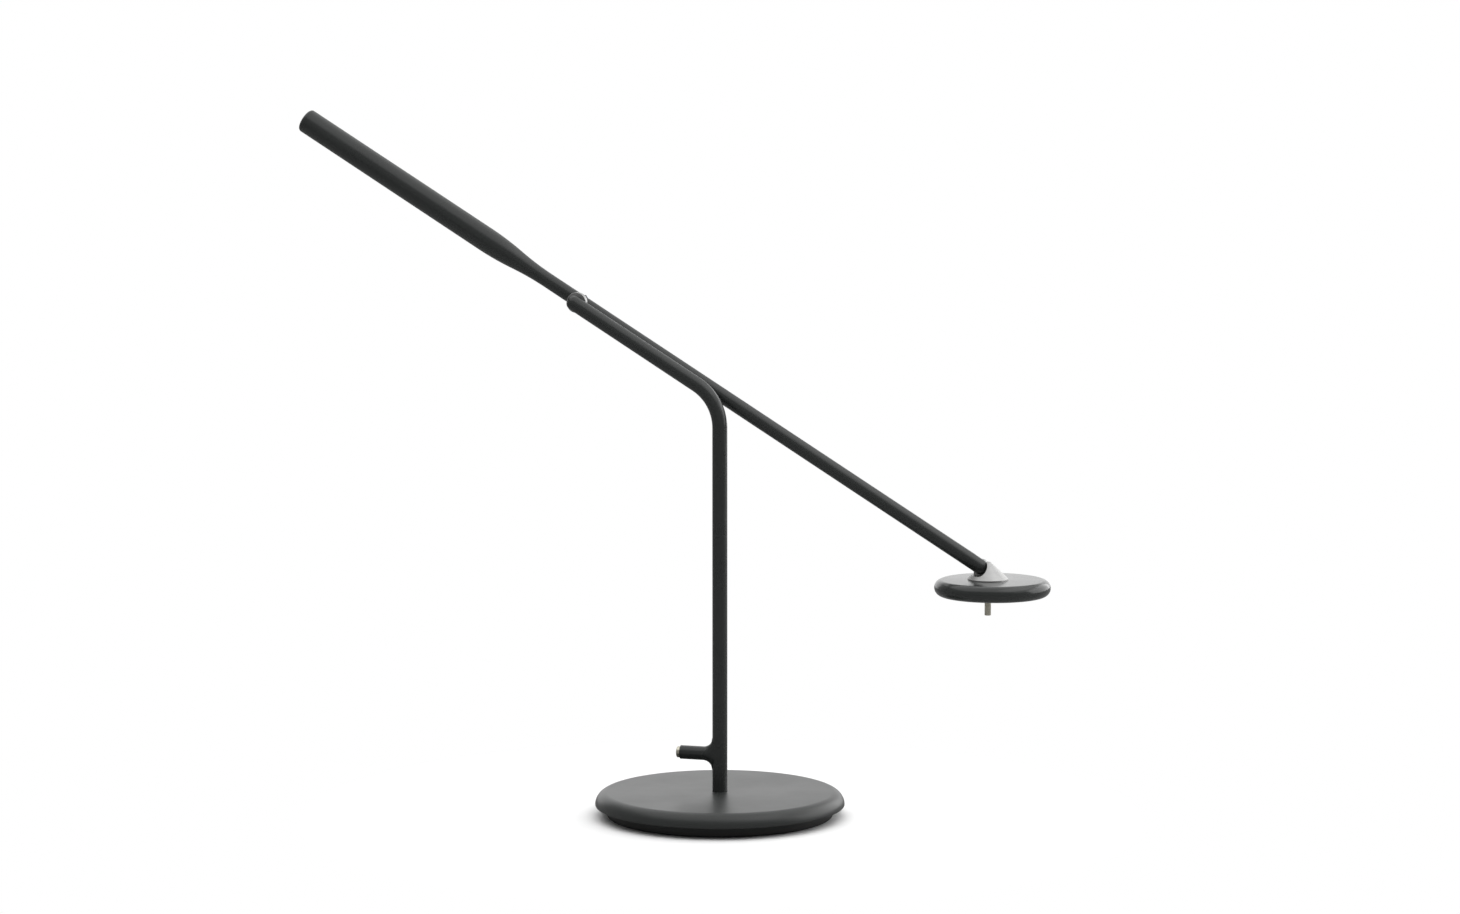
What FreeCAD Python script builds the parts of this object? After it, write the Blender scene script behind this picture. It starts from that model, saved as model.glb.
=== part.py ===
import FreeCAD, Part
import math
import os

import Sketcher

# Counterweight balance desk lamp, in millimetres.
# Origin: centre of the base on the table. +Z is up, +X points from the post towards the lamp head.
# The arm swings in the plane Y = arm_side, on the far side of the post.

SIZES = [
    # base
    ("base_dia", "200", "outer diameter of the base cover"),
    ("cover_height", "11", "height of the base cover"),
    ("cover_round", "10", "radius of the cover's upper rim"),
    ("cover_edge", "0.9", "radius of the cover's lower rim"),
    ("cover_wall", "3", "thickness of the cover's top"),
    ("foot_inset", "9.5", "distance by which the foot pan stands back under the cover"),
    ("foot_height", "8.2", "height of the foot pan"),
    ("foot_floor", "2", "thickness of the pan's floor"),
    ("foot_wall", "2", "thickness of the pan's wall"),
    ("pad_height", "0.8", "thickness of the pad under the foot"),
    ("pad_width", "12", "width of the pad ring"),
    ("pad_inset", "4", "distance from the foot's edge to the pad"),
    ("ballast_gap", "2.5", "gap between the ballast disc and the pan's wall"),
    ("ballast_height", "10.5", "thickness of the ballast disc"),
    ("ballast_recess", "7", "depth of the recess under the ballast"),
    ("recess_dia", "28", "diameter of the recess round the swivel nut"),
    ("channel_width", "8", "width of the lead channel under the ballast"),
    ("screw_inset", "30.5", "distance of the base screws from the foot's edge"),
    ("screw_dia", "4", "thread diameter of the base screws"),
    ("boss_dia", "8.4", "diameter of the screw bosses"),
    ("boss_length", "6", "length of the screw bosses"),
    ("inlet_bore", "3.6", "bore of the lead inlet"),
    ("inlet_dia", "5", "outer diameter of the lead inlet"),
    ("inlet_length", "5.5", "length of the lead inlet"),
    # post and its swivel
    ("tube_dia", "12", "outer diameter of the post and of the thin arm"),
    ("post_wall", "1.5", "wall of the post tube"),
    ("bend_height", "335", "height where the two straight runs of the post would meet"),
    ("bend_radius", "40", "centre line radius of the bend"),
    ("slope", "31.3", "slope of the arm and of the bent run, in degrees"),
    ("pivot_reach", "122.2", "distance of the arm pivot from the post axis"),
    ("bush_dia", "12", "outer diameter of the swivel bush"),
    ("bush_flange_dia", "22", "diameter of the bush flange"),
    ("bush_flange", "2", "thickness of the bush flange"),
    ("spigot_dia", "8", "diameter of the swivel spigot"),
    ("spigot_grip", "26", "length of the spigot inside the post"),
    ("spigot_tail", "0.4", "spigot length below the nut"),
    ("nut_width", "13", "width across flats of the swivel nut"),
    ("nut_height", "2.5", "height of the swivel nut"),
    ("washer_height", "0.5", "thickness of the swivel washer"),
    ("lead_dia", "2", "diameter of the two-core lead"),
    ("lead_entry", "6", "length of the base lead inside the spigot"),
    # branch with the dimmer
    ("branch_height", "50", "height of the branch axis above the table"),
    ("branch_dia", "11", "outer diameter of the branch"),
    ("branch_reach", "32.7", "distance of the branch end from the post axis"),
    ("branch_fillet", "8", "radius of the fillets above and below the branch"),
    ("branch_bore", "7.6", "bore of the branch"),
    ("button_dia", "9", "diameter of the dimmer button"),
    ("button_proud", "3", "height of the button outside the branch"),
    ("button_depth", "5", "length of the button inside the branch"),
    ("button_travel", "1.2", "travel of the button"),
    ("button_edge", "0.6", "rounding of the button's edge"),
    ("stem_dia", "3", "diameter of the button stem"),
    ("stem_length", "5", "length of the button stem"),
    ("module_length", "12", "length of the dimmer module"),
    # arm pivot
    ("arm_side", "16", "distance between the arm plane and the post plane"),
    ("spot_depth", "0.5", "depth of the flats milled on the tubes"),
    ("disc_dia", "16.4", "diameter of the pivot disc"),
    ("friction_height", "0.6", "thickness of the friction washer"),
    ("bolt_dia", "6", "diameter of the pivot bolt"),
    ("bolt_grip", "9", "length of the bolt inside the post end"),
    ("spring_washer_height", "0.8", "thickness of the pivot spring washer"),
    ("cap_nut_width", "10", "width across flats of the pivot cap nut"),
    ("cap_nut_hex", "3.4", "height of the hexagon of the cap nut"),
    ("cap_nut_wall", "1.4", "thickness of the cap nut above the bolt"),
    ("cap_nut_height", "4.6", "height of the pivot cap nut"),
    ("plug_seat", "9.5", "distance from a joint axis to the end of the tube that its plug closes"),
    ("plug_grip", "15", "length of a plug inside its tube"),
    # arm
    ("arm_front", "388.3", "distance from the pivot to the head joint"),
    ("arm_rear", "277.5", "distance from the pivot to the rear end of the arm"),
    ("arm_wall", "1.3", "wall of the arm tube"),
    ("weight_dia", "20", "outer diameter of the thick rear stretch"),
    ("taper_near", "32", "distance from the pivot to the thin end of the taper"),
    ("taper_far", "95", "distance from the pivot to the thick end of the taper"),
    ("core_length", "170", "length of the counterweight core"),
    ("core_inset", "8", "distance from the rear end of the arm to the core"),
    ("cap_height", "3.2", "height of the rear cap outside the tube"),
    ("cap_grip", "4.6", "length of the rear cap inside the tube"),
    ("cap_round", "2.4", "rounding of the rear cap"),
    ("hub_length", "30", "length of the hub inside the arm"),
    # head joint
    ("neck_rise", "9.7", "height of the head joint above the head"),
    ("neck_shift", "5.9", "distance from the head joint to the neck axis"),
    ("neck_dia", "32", "diameter of the neck cone at its foot"),
    ("neck_height", "14", "height of the neck cone"),
    ("neck_land", "0.8", "height of the straight edge at the cone's foot"),
    ("neck_tip", "1.8", "radius of the cone's top"),
    ("lug_height", "4.4", "thickness of the neck lug"),
    ("lug_dia", "11.6", "diameter of the neck lug"),
    ("hinge_dia", "4", "diameter of the head joint screw"),
    ("hinge_grip", "4.5", "length of the head joint screw inside the arm"),
    ("hinge_head_dia", "7.6", "diameter of the screw's head"),
    ("hinge_head", "2.2", "height of the screw's head"),
    ("hinge_washer", "0.5", "thickness of the washer in the head joint"),
    ("nose_clear", "0.5", "clearance of the arm end in the neck"),
    ("lap_length", "9", "length of the half lap of the arm end"),
    ("lead_drop", "3.8", "distance from the head joint to the upright lead"),
    # head
    ("head_dia", "91.4", "diameter of the lamp head"),
    ("head_height", "12.8", "thickness of the lamp head"),
    ("head_shift", "3.6", "distance from the neck axis to the middle of the head"),
    ("head_wall", "1.8", "wall of the head cover"),
    ("sink_height", "3", "thickness of the heat sink plate"),
    ("sink_dia", "76", "diameter of the heat sink plate"),
    ("board_height", "1.2", "thickness of the lamp board"),
    ("board_dia", "72", "diameter of the lamp board"),
    ("chip_width", "3", "width of a light chip"),
    ("chip_height", "0.7", "height of a light chip"),
    ("outer_ring", "52", "pitch circle of the outer chips"),
    ("inner_ring", "28", "pitch circle of the inner chips"),
    ("diffuser_height", "1.8", "thickness of the diffuser"),
    ("lip_height", "1.2", "thickness of the lip under the diffuser"),
    ("lip_width", "1.5", "width of the lip under the diffuser"),
    ("pin_dia", "5", "diameter of the aiming pin"),
    ("pin_length", "15.6", "length of the aiming pin below the head"),
    ("pin_thread", "4", "diameter of the aiming pin's thread"),
    ("pin_edge", "0.5", "rounding of the aiming pin's end"),
    ("pin_reach", "3.8", "length of the pin's thread inside the neck"),
    ("board_screw_circle", "64", "pitch circle of the board screws"),
    ("board_screw_dia", "2.5", "thread diameter of the board screws"),
    ("board_screw_head", "4.5", "head diameter of the board screws"),
    ("board_screw_cap", "1.4", "head height of the board screws"),
    ("board_screw_grip", "2.4", "length of the board screws inside the heat sink"),
    # fits
    ("running", "0.05", "radial clearance of a running fit"),
    ("loose", "0.3", "clearance between pieces that do not locate each other"),
]

# Places that follow from the sizes; the formulas read the sheet above.
PLACES = [
    ("foot_r", "Sizes.base_dia / 2 - Sizes.foot_inset"),
    ("ballast_r", "Places.foot_r - Sizes.foot_wall - Sizes.ballast_gap"),
    ("screw_circle", "2 * (Places.foot_r - Sizes.screw_inset)"),
    ("seam_z", "Sizes.pad_height + Sizes.foot_height"),
    ("floor_z", "Sizes.pad_height + Sizes.foot_floor"),
    ("cover_top", "Places.seam_z + Sizes.cover_height"),
    ("ballast_top", "Places.floor_z + Sizes.ballast_height"),
    ("web_z", "Places.floor_z + Sizes.ballast_recess"),
    ("post_foot", "Places.ballast_top + Sizes.bush_flange"),
    ("inlet_z", "Places.floor_z + Sizes.inlet_dia / 2 + Sizes.running"),
    ("inlet_y", "Places.foot_r - Sizes.foot_wall - 1"),
    ("lead_r", "Sizes.lead_dia / 2"),
    ("lead_z", "Places.floor_z + Places.lead_r"),
    ("tube_r", "Sizes.tube_dia / 2"),
    ("post_bore_r", "Sizes.tube_dia / 2 - Sizes.post_wall"),
    ("lead_bore_r", "Sizes.lead_dia / 2 + Sizes.loose"),
    ("spigot_z", "Places.web_z - Sizes.washer_height - Sizes.nut_height - Sizes.spigot_tail"),
    ("bend_run", "Sizes.bend_radius * tan((90 - Sizes.slope) / 2)"),
    ("pivot_x", "-Sizes.pivot_reach"),
    ("pivot_z", "Sizes.bend_height + Sizes.pivot_reach * tan(Sizes.slope)"),
    ("bent_length", "Sizes.pivot_reach / cos(Sizes.slope)"),
    ("spot_r", "Sizes.disc_dia / 2 + Sizes.loose"),
    ("post_flat", "Places.tube_r - Sizes.spot_depth"),
    ("disc_height", "Sizes.arm_side - 2 * Places.post_flat - Sizes.friction_height"),
    ("far_flat", "Sizes.arm_side + Places.post_flat"),
    ("nut_face", "Places.far_flat + Sizes.spring_washer_height"),
    ("nut_depth", "Sizes.cap_nut_height - Sizes.cap_nut_wall"),
    ("arm_bore_r", "Sizes.tube_dia / 2 - Sizes.arm_wall"),
    ("weight_bore_r", "Sizes.weight_dia / 2 - Sizes.arm_wall"),
    ("taper_length", "Sizes.taper_far - Sizes.taper_near"),
    ("taper_rise", "(Sizes.weight_dia - Sizes.tube_dia) / 2"),
    ("taper_radius", "(Places.taper_length ^ 2 + Places.taper_rise ^ 2) / (4 * Places.taper_rise)"),
    ("joint_x", "Places.pivot_x + Sizes.arm_front * cos(Sizes.slope)"),
    ("joint_z", "Places.pivot_z - Sizes.arm_front * sin(Sizes.slope)"),
    ("head_top", "Places.joint_z - Sizes.neck_rise"),
    ("head_bottom", "Places.head_top - Sizes.head_height"),
    ("neck_x", "Places.joint_x + Sizes.neck_shift"),
    ("lug_y", "Sizes.arm_side + Sizes.hinge_washer"),
    ("lead_side", "Sizes.hinge_washer + Sizes.lug_height / 2"),
    ("lead_turn", "Sizes.lead_drop / cos(Sizes.slope)"),
    ("mouth", "Sizes.button_depth + Sizes.button_travel + 1"),
    ("head_x", "Places.neck_x + Sizes.head_shift"),
    ("head_round", "Sizes.head_height / 2"),
    ("sink_z", "Places.head_top - Sizes.head_wall - Sizes.sink_height"),
    ("board_z", "Places.sink_z - Sizes.board_height"),
    ("diffuser_z", "Places.head_bottom + Sizes.lip_height"),
    ("window_r", "Sizes.board_dia / 2 - Sizes.lip_width"),
    ("cavity_r", "Sizes.sink_dia / 2 + Sizes.loose"),
]

BASE_SCREWS = 3
BOARD_SCREWS = 3
OUTER_CHIPS = 16
INNER_CHIPS = 8
FILLET_STEPS = 8

UP = FreeCAD.Rotation()
ALONG_X = FreeCAD.Rotation(FreeCAD.Vector(0, 1, 0), 90)
ALONG_MINUS_X = FreeCAD.Rotation(FreeCAD.Vector(0, 1, 0), -90)
ALONG_Y = FreeCAD.Rotation(FreeCAD.Vector(1, 0, 0), -90)
DOWN = FreeCAD.Rotation(FreeCAD.Vector(1, 0, 0), 180)

doc = FreeCAD.newDocument("DeskLamp")
nodes = []


# ---------------------------------------------------------------- sheets and small helpers

def make_sheet(label, rows):
    """A spreadsheet whose second column holds the values and carries the aliases."""
    sheet = doc.addObject("Spreadsheet::Sheet", label)
    for row, cells in enumerate(rows, start=1):
        sheet.set("A%d" % row, cells[0])
        sheet.set("B%d" % row, cells[1])
        sheet.setAlias("B%d" % row, cells[0])
        if len(cells) > 2:
            sheet.set("C%d" % row, cells[2])
    doc.recompute()
    return sheet


sizes = make_sheet("Sizes", SIZES)
places = make_sheet("Places", [(name, "=" + formula) for name, formula in PLACES])


def value(formula):
    """The number that a formula gives now."""
    result = sizes.evalExpression(formula)
    return float(getattr(result, "Value", result))


def bind(obj, **formulas):
    """Tie properties to formulas; two underscores stand for a dot."""
    for name, formula in formulas.items():
        obj.setExpression(name.replace("__", "."), formula)
    return obj


def put(obj, x="0", y="0", z="0", turn=UP):
    """Place an object at a point given by three formulas."""
    obj.Placement = FreeCAD.Placement(FreeCAD.Vector(value(x), value(y), value(z)), turn)
    return bind(obj, Placement__Base__x=x, Placement__Base__y=y, Placement__Base__z=z)


def cylinder(radius, height, x="0", y="0", z="0", turn=UP):
    """A cylinder that rises from a point along its turned Z axis."""
    solid = doc.addObject("Part::Cylinder", "Cylinder")
    bind(solid, Radius=radius, Height=height)
    return put(solid, x, y, z, turn)


def cone(radius_low, radius_high, height, x="0", y="0", z="0", turn=UP):
    """A cone that rises from a point along its turned Z axis."""
    solid = doc.addObject("Part::Cone", "Cone")
    bind(solid, Radius1=radius_low, Radius2=radius_high, Height=height)
    return put(solid, x, y, z, turn)


def block(length, width, height, x="0", y="0", z="0"):
    """A box between a low corner and its three lengths."""
    solid = doc.addObject("Part::Box", "Block")
    bind(solid, Length=length, Width=width, Height=height)
    return put(solid, x, y, z)


def fuse(*solids):
    """The union of several solids."""
    union = doc.addObject("Part::MultiFuse", "Union")
    union.Shapes = list(solids)
    union.Refine = True
    return union


def cut(base, *tools):
    """A solid less one or more tools."""
    result = doc.addObject("Part::Cut", "Cut")
    result.Base = base
    result.Tool = tools[0] if len(tools) == 1 else fuse(*tools)
    result.Refine = True
    return result


def group(solids):
    """Equal pieces kept together as one compound."""
    together = doc.addObject("Part::Compound", "Group")
    together.Links = solids
    return together


def around(circle, count, first=0.0):
    """Formulas for the X and Y of points on a pitch circle."""
    for index in range(count):
        angle = first + 360.0 * index / count
        yield ("(%s) / 2 * cos(%s)" % (circle, angle), "(%s) / 2 * sin(%s)" % (circle, angle))


def rounded(solid, radius, picks):
    """Round the circular edges whose centre height and radius match one of the picks."""
    doc.recompute()
    edges = []
    for index, edge in enumerate(solid.Shape.Edges, start=1):
        if not isinstance(edge.Curve, Part.Circle):
            continue
        for height, size in picks:
            near_height = abs(edge.Curve.Center.z - value(height)) < 1e-4
            if near_height and abs(edge.Curve.Radius - value(size)) < 1e-4:
                edges.append((index, value(radius), value(radius)))
    fillet = doc.addObject("Part::Fillet", "Rounded")
    fillet.Base = solid
    fillet.Edges = edges
    return fillet


def keep(label, obj):
    """Name an object as one of the lamp's pieces."""
    obj.Label = label
    nodes.append(obj)
    return obj


# ---------------------------------------------------------------- sketched bodies

def origin_plane(body, role):
    """One of the origin planes of a body."""
    return next(item for item in body.Origin.OriginFeatures if item.Role == role)


def make_sketch(body, name, role):
    """An empty sketch on an origin plane of its body."""
    sketch = body.newObject("Sketcher::SketchObject", name)
    sketch.AttachmentSupport = [(origin_plane(body, role), "")]
    sketch.MapMode = "FlatFace"
    return sketch


def tie_point(sketch, index, corner, point):
    """Fix one end of an edge at two formulas."""
    for kind, formula in (("DistanceX", point[0]), ("DistanceY", point[1])):
        number = sketch.addConstraint(
            Sketcher.Constraint(kind, -1, 1, index, corner, value(formula)))
        sketch.setExpression("Constraints[%d]" % number, formula)


def draw_profile(sketch, corners, closed=True):
    """Draw a profile through corners.

    A corner is (x, y) for a straight edge to the next corner, or (x, y, centre_x, centre_y, turn)
    for an arc to the next corner about that centre; turn is 1 for counter-clockwise, -1 for clockwise.
    """
    count = len(corners) if closed else len(corners) - 1
    spots = [FreeCAD.Vector(value(corner[0]), value(corner[1]), 0) for corner in corners]
    for index in range(count):
        start = spots[index]
        end = spots[(index + 1) % len(spots)]
        corner = corners[index]
        if len(corner) == 2:
            sketch.addGeometry(Part.LineSegment(start, end), False)
            continue
        centre = FreeCAD.Vector(value(corner[2]), value(corner[3]), 0)
        radius = (start - centre).Length
        first = math.atan2(start.y - centre.y, start.x - centre.x)
        last = math.atan2(end.y - centre.y, end.x - centre.x)
        if corner[4] < 0:
            first, last = last, first
        circle = Part.Circle(centre, FreeCAD.Vector(0, 0, 1), radius)
        sketch.addGeometry(Part.ArcOfCircle(circle, first, last), False)
    for index in range(count):
        corner = corners[index]
        following = (index + 1) % len(corners)
        backwards = len(corner) > 2 and corner[4] < 0
        begin_end = 2 if backwards else 1
        finish_end = 1 if backwards else 2
        tie_point(sketch, index, begin_end, corner)
        if len(corner) > 2:
            number = sketch.addConstraint(
                Sketcher.Constraint("DistanceX", -1, 1, index, 3, value(corner[2])))
            sketch.setExpression("Constraints[%d]" % number, corner[2])
        if following < count:
            turned = len(corners[following]) > 2 and corners[following][4] < 0
            sketch.addConstraint(
                Sketcher.Constraint("Coincident", index, finish_end, following, 2 if turned else 1))
        else:
            tie_point(sketch, index, finish_end, corners[following])
    return sketch


def turned_body(label, corners, axis="V_Axis"):
    """A body turned on a lathe: a profile in the XZ plane revolved about an axis."""
    body = doc.addObject("PartDesign::Body", label)
    sketch = draw_profile(make_sketch(body, label + "_profile", "XZ_Plane"), corners)
    lathe = body.newObject("PartDesign::Revolution", label + "_turned")
    lathe.Profile = sketch
    lathe.ReferenceAxis = (sketch, [axis])
    lathe.Angle = 360
    doc.recompute()
    return body


def sphere(radius, x="0", y="0", z="0"):
    """A ball about a point."""
    ball = doc.addObject("Part::Sphere", "Ball")
    bind(ball, Radius=radius)
    return put(ball, x, y, z)


def hexagon(width, height, x="0", y="0", z="0", turn=UP):
    """A hexagonal prism given by its width across flats."""
    prism = doc.addObject("Part::Prism", "Hexagon")
    prism.Polygon = 6
    bind(prism, Circumradius="%s / (2 * cos(30))" % width, Height=height)
    return put(prism, x, y, z, turn)


def ring(outer, inner, height, x="0", y="0", z="0", turn=UP):
    """A washer, bush or sleeve."""
    return cut(cylinder(outer, height, x, y, z, turn), cylinder(inner, height, x, y, z, turn))


# ---------------------------------------------------------------- base

def base_cover():
    """Pressed cover: quarter-round upper rim, thick ring below, screw bosses inside."""
    rim = "Sizes.base_dia / 2"
    cavity = "Places.ballast_r + Sizes.loose"
    ceiling = "Places.cover_top - Sizes.cover_wall"
    neck = "Places.tube_r + 2 * Sizes.running"
    low = "Places.seam_z"
    shell = turned_body("base_shell", [
        (neck, ceiling),
        (cavity, ceiling),
        (cavity, low),
        (rim + " - Sizes.cover_edge", low, rim + " - Sizes.cover_edge", low + " + Sizes.cover_edge", 1),
        (rim, low + " + Sizes.cover_edge"),
        (rim, "Places.cover_top - Sizes.cover_round",
         rim + " - Sizes.cover_round", "Places.cover_top - Sizes.cover_round", 1),
        (rim + " - Sizes.cover_round", "Places.cover_top"),
        (neck, "Places.cover_top"),
    ])
    bosses = []
    threads = []
    for x, y in around("Places.screw_circle", BASE_SCREWS, 30.0):
        foot = ceiling + " - Sizes.boss_length"
        bosses.append(cylinder("Sizes.boss_dia / 2", "Sizes.boss_length + Sizes.cover_wall / 2", x, y, foot))
        threads.append(cylinder("Sizes.screw_dia / 2", "Sizes.boss_length - 1", x, y, foot))
    return keep("base_cover", cut(fuse(shell, *bosses), *threads))


def base_ballast():
    """Cast disc with a bush seat, a recess round the nut and a channel for the lead."""
    disc = cylinder("Places.ballast_r", "Sizes.ballast_height", z="Places.floor_z")
    tools = [
        cylinder("Sizes.bush_dia / 2", "Sizes.ballast_height", z="Places.floor_z"),
        cylinder("Sizes.recess_dia / 2", "Sizes.ballast_recess", z="Places.floor_z"),
        block("Sizes.channel_width", "Places.ballast_r", "Sizes.ballast_recess",
              "-Sizes.channel_width / 2", "0", "Places.floor_z"),
    ]
    sink_depth = "Sizes.boss_length - (Places.cover_top - Sizes.cover_wall - Places.ballast_top) + Sizes.loose"
    for x, y in around("Places.screw_circle", BASE_SCREWS, 30.0):
        tools.append(cylinder("Sizes.screw_dia / 2 + Sizes.loose", "Sizes.ballast_height", x, y, "Places.floor_z"))
        tools.append(cylinder("Sizes.boss_dia / 2 + Sizes.loose", sink_depth,
                              x, y, "Places.ballast_top - (%s)" % sink_depth))
    return keep("base_ballast", cut(disc, *tools))


def base_foot():
    """Pan that carries the ballast, with countersunk screw holes and the hole of the lead inlet."""
    outer = "Places.foot_r"
    pan = turned_body("foot_pan", [
        ("0", "Sizes.pad_height"),
        (outer, "Sizes.pad_height"),
        (outer, "Places.seam_z"),
        (outer + " - Sizes.foot_wall", "Places.seam_z"),
        (outer + " - Sizes.foot_wall", "Places.floor_z"),
        ("0", "Places.floor_z"),
    ])
    tools = [cylinder("Sizes.inlet_dia / 2", "Sizes.foot_wall * 3", "0",
                      outer + " - Sizes.foot_wall * 2", "Places.inlet_z",
                      ALONG_Y)]
    for x, y in around("Places.screw_circle", BASE_SCREWS, 30.0):
        tools.append(cone("Sizes.screw_dia", "Sizes.screw_dia / 2", "Sizes.foot_floor", x, y, "Sizes.pad_height"))
    return keep("base_foot", cut(pan, *tools))


def base_fittings():
    """Pad, screws, lead inlet and the lead that turns up into the spigot."""
    pad_r = "Places.foot_r - Sizes.pad_inset"
    keep("foot_pad", ring(pad_r, pad_r + " - Sizes.pad_width", "Sizes.pad_height"))
    screws = []
    top = "Places.cover_top - Sizes.cover_wall - 1.5"
    for x, y in around("Places.screw_circle", BASE_SCREWS, 30.0):
        head = cone("Sizes.screw_dia", "Sizes.screw_dia / 2", "Sizes.foot_floor", x, y, "Sizes.pad_height")
        shank = cylinder("Sizes.screw_dia / 2", top + " - Places.floor_z", x, y, "Places.floor_z")
        socket = hexagon("Sizes.screw_dia * 0.6", "Sizes.foot_floor * 0.7", x, y, "Sizes.pad_height")
        screws.append(cut(fuse(head, shank), socket))
    keep("base_screws", group(screws))
    keep("lead_inlet", ring("Sizes.inlet_dia / 2", "Sizes.inlet_bore / 2", "Sizes.inlet_length", "0",
                            "Places.inlet_y", "Places.inlet_z", ALONG_Y))


def swivel():
    """Bush, spigot, washer and nut on which the post turns."""
    bore = "Sizes.spigot_dia / 2 + Sizes.running"
    sleeve = cylinder("Sizes.bush_dia / 2", "Places.ballast_top - Places.web_z", z="Places.web_z")
    flange = cylinder("Sizes.bush_flange_dia / 2", "Sizes.bush_flange", z="Places.ballast_top")
    keep("swivel_bush", cut(fuse(sleeve, flange), cylinder(bore, "Places.post_foot", z="0")))
    tail = cylinder("Sizes.spigot_dia / 2", "Places.post_foot - Places.spigot_z", z="Places.spigot_z")
    grip = cylinder("Places.post_bore_r", "Sizes.spigot_grip", z="Places.post_foot")
    passage = cylinder("Places.lead_bore_r", "Places.post_foot + Sizes.spigot_grip", z="0")
    keep("post_spigot", cut(fuse(tail, grip), passage))
    keep("swivel_washer", ring("Sizes.nut_width * 0.75", "Sizes.spigot_dia / 2", "Sizes.washer_height",
                               z="Places.web_z - Sizes.washer_height"))
    nut = hexagon("Sizes.nut_width", "Sizes.nut_height",
                  z="Places.web_z - Sizes.washer_height - Sizes.nut_height")
    keep("swivel_nut", cut(nut, cylinder("Sizes.spigot_dia / 2", "Places.post_foot", z="0")))


# ---------------------------------------------------------------- post

def bent_path(body, name, start, end_gap):
    """Centre line of the post: a straight run, the bend, and the run up to the pivot."""
    sketch = make_sketch(body, name, "XZ_Plane")
    bend_start = "Sizes.bend_height - Places.bend_run"
    return draw_profile(sketch, [
        ("0", start),
        ("0", bend_start, "-Sizes.bend_radius", bend_start, 1),
        ("-Places.bend_run * cos(Sizes.slope)", "Sizes.bend_height + Places.bend_run * sin(Sizes.slope)"),
        ("-(Places.bent_length - %s) * cos(Sizes.slope)" % end_gap,
         "Sizes.bend_height + (Places.bent_length - %s) * sin(Sizes.slope)" % end_gap),
    ], closed=False)


def swept_body(label, radii, start, end_gap):
    """A tube or rod carried along the post's centre line."""
    body = doc.addObject("PartDesign::Body", label)
    section = make_sketch(body, label + "_section", "XY_Plane")
    section.AttachmentOffset = FreeCAD.Placement(FreeCAD.Vector(0, 0, value(start)), FreeCAD.Rotation())
    section.setExpression("AttachmentOffset.Base.z", start)
    for index, radius in enumerate(radii):
        circle = Part.Circle(FreeCAD.Vector(0, 0, 0), FreeCAD.Vector(0, 0, 1), value(radius))
        section.addGeometry(circle, False)
        section.addConstraint(Sketcher.Constraint("Coincident", index, 3, -1, 1))
        number = section.addConstraint(Sketcher.Constraint("Radius", index, value(radius)))
        section.setExpression("Constraints[%d]" % number, radius)
    spine = bent_path(body, label + "_path", start, end_gap)
    doc.recompute()
    pipe = body.newObject("PartDesign::AdditivePipe", label + "_pipe")
    pipe.Profile = section
    pipe.Spine = (spine, ["Edge1", "Edge2", "Edge3"])
    doc.recompute()
    return body


def branch_flare():
    """Foot of the branch: ellipses whose height follows a quarter circle up the post.

    At the angle t of the quarter circle the section stands at x = -reach + fillet sin t
    and is branch radius + fillet (1 - cos t) high, where the reach ends just inside the post.
    """
    reach = "(Places.tube_r + Sizes.branch_fillet - 0.1)"
    wide = "(Sizes.branch_dia / 2 + 0.02)"
    stations = []
    for step in range(FILLET_STEPS + 1):
        angle = 90.0 * step / FILLET_STEPS
        x = "-%s + Sizes.branch_fillet * sin(%s)" % (reach, angle)
        stations.append((x, "%s + Sizes.branch_fillet * (1 - cos(%s)) + 0.01" % (wide, angle)))
    stations.append(("-Places.tube_r / 4", stations[-1][1]))
    sections = []
    for x, tall in stations:
        ellipse = doc.addObject("Part::Ellipse", "Section")
        bind(ellipse, MajorRadius=tall, MinorRadius=wide)
        sections.append(put(ellipse, x, "0", "Sizes.branch_height", ALONG_MINUS_X))
    flare = doc.addObject("Part::Loft", "Flare")
    flare.Sections = sections
    flare.Solid = True
    flare.Ruled = True
    return flare


def post_tube():
    """Bent tube with the filleted branch, bored for the spigot, the lead and the dimmer."""
    outside = swept_body("post_outside", ["Places.tube_r"], "Places.post_foot", "Sizes.plug_seat")
    inside = swept_body("post_inside", ["Places.post_bore_r"], "Places.post_foot", "Sizes.plug_seat")
    branch = cylinder("Sizes.branch_dia / 2", "Sizes.branch_reach - Places.tube_r / 4",
                      "-Places.tube_r / 4", "0", "Sizes.branch_height", ALONG_MINUS_X)
    tools = [
        inside,
        cylinder("Sizes.branch_bore / 2", "Sizes.branch_reach + 1", "0", "0", "Sizes.branch_height",
                 ALONG_MINUS_X),
        cylinder("Sizes.button_dia / 2 + 2 * Sizes.running", "Places.mouth + 1",
                 "-Sizes.branch_reach + Places.mouth", "0", "Sizes.branch_height", ALONG_MINUS_X),
    ]
    return keep("post_tube", cut(fuse(outside, branch, branch_flare()), *tools))


def dimmer():
    """Push button on its stem and the dimmer module behind it."""
    length = "Sizes.button_proud + Sizes.button_depth"
    cap = rounded(cylinder("Sizes.button_dia / 2", length), "Sizes.button_edge",
                  [(length, "Sizes.button_dia / 2")])
    stem = cylinder("Sizes.stem_dia / 2", "Sizes.stem_length", z="-Sizes.stem_length")
    button = fuse(cap, stem)
    put(button, "-Sizes.branch_reach + Sizes.button_depth", "0", "Sizes.branch_height", ALONG_MINUS_X)
    keep("dimmer_button", button)
    front = "-Sizes.branch_reach + Places.mouth"
    case = cylinder("Sizes.branch_bore / 2", "Sizes.module_length", front, "0", "Sizes.branch_height", ALONG_X)
    hole = cylinder("Sizes.stem_dia / 2 + 2 * Sizes.running", "Sizes.stem_length", front, "0",
                    "Sizes.branch_height", ALONG_X)
    keep("dimmer_module", cut(case, hole))


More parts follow.
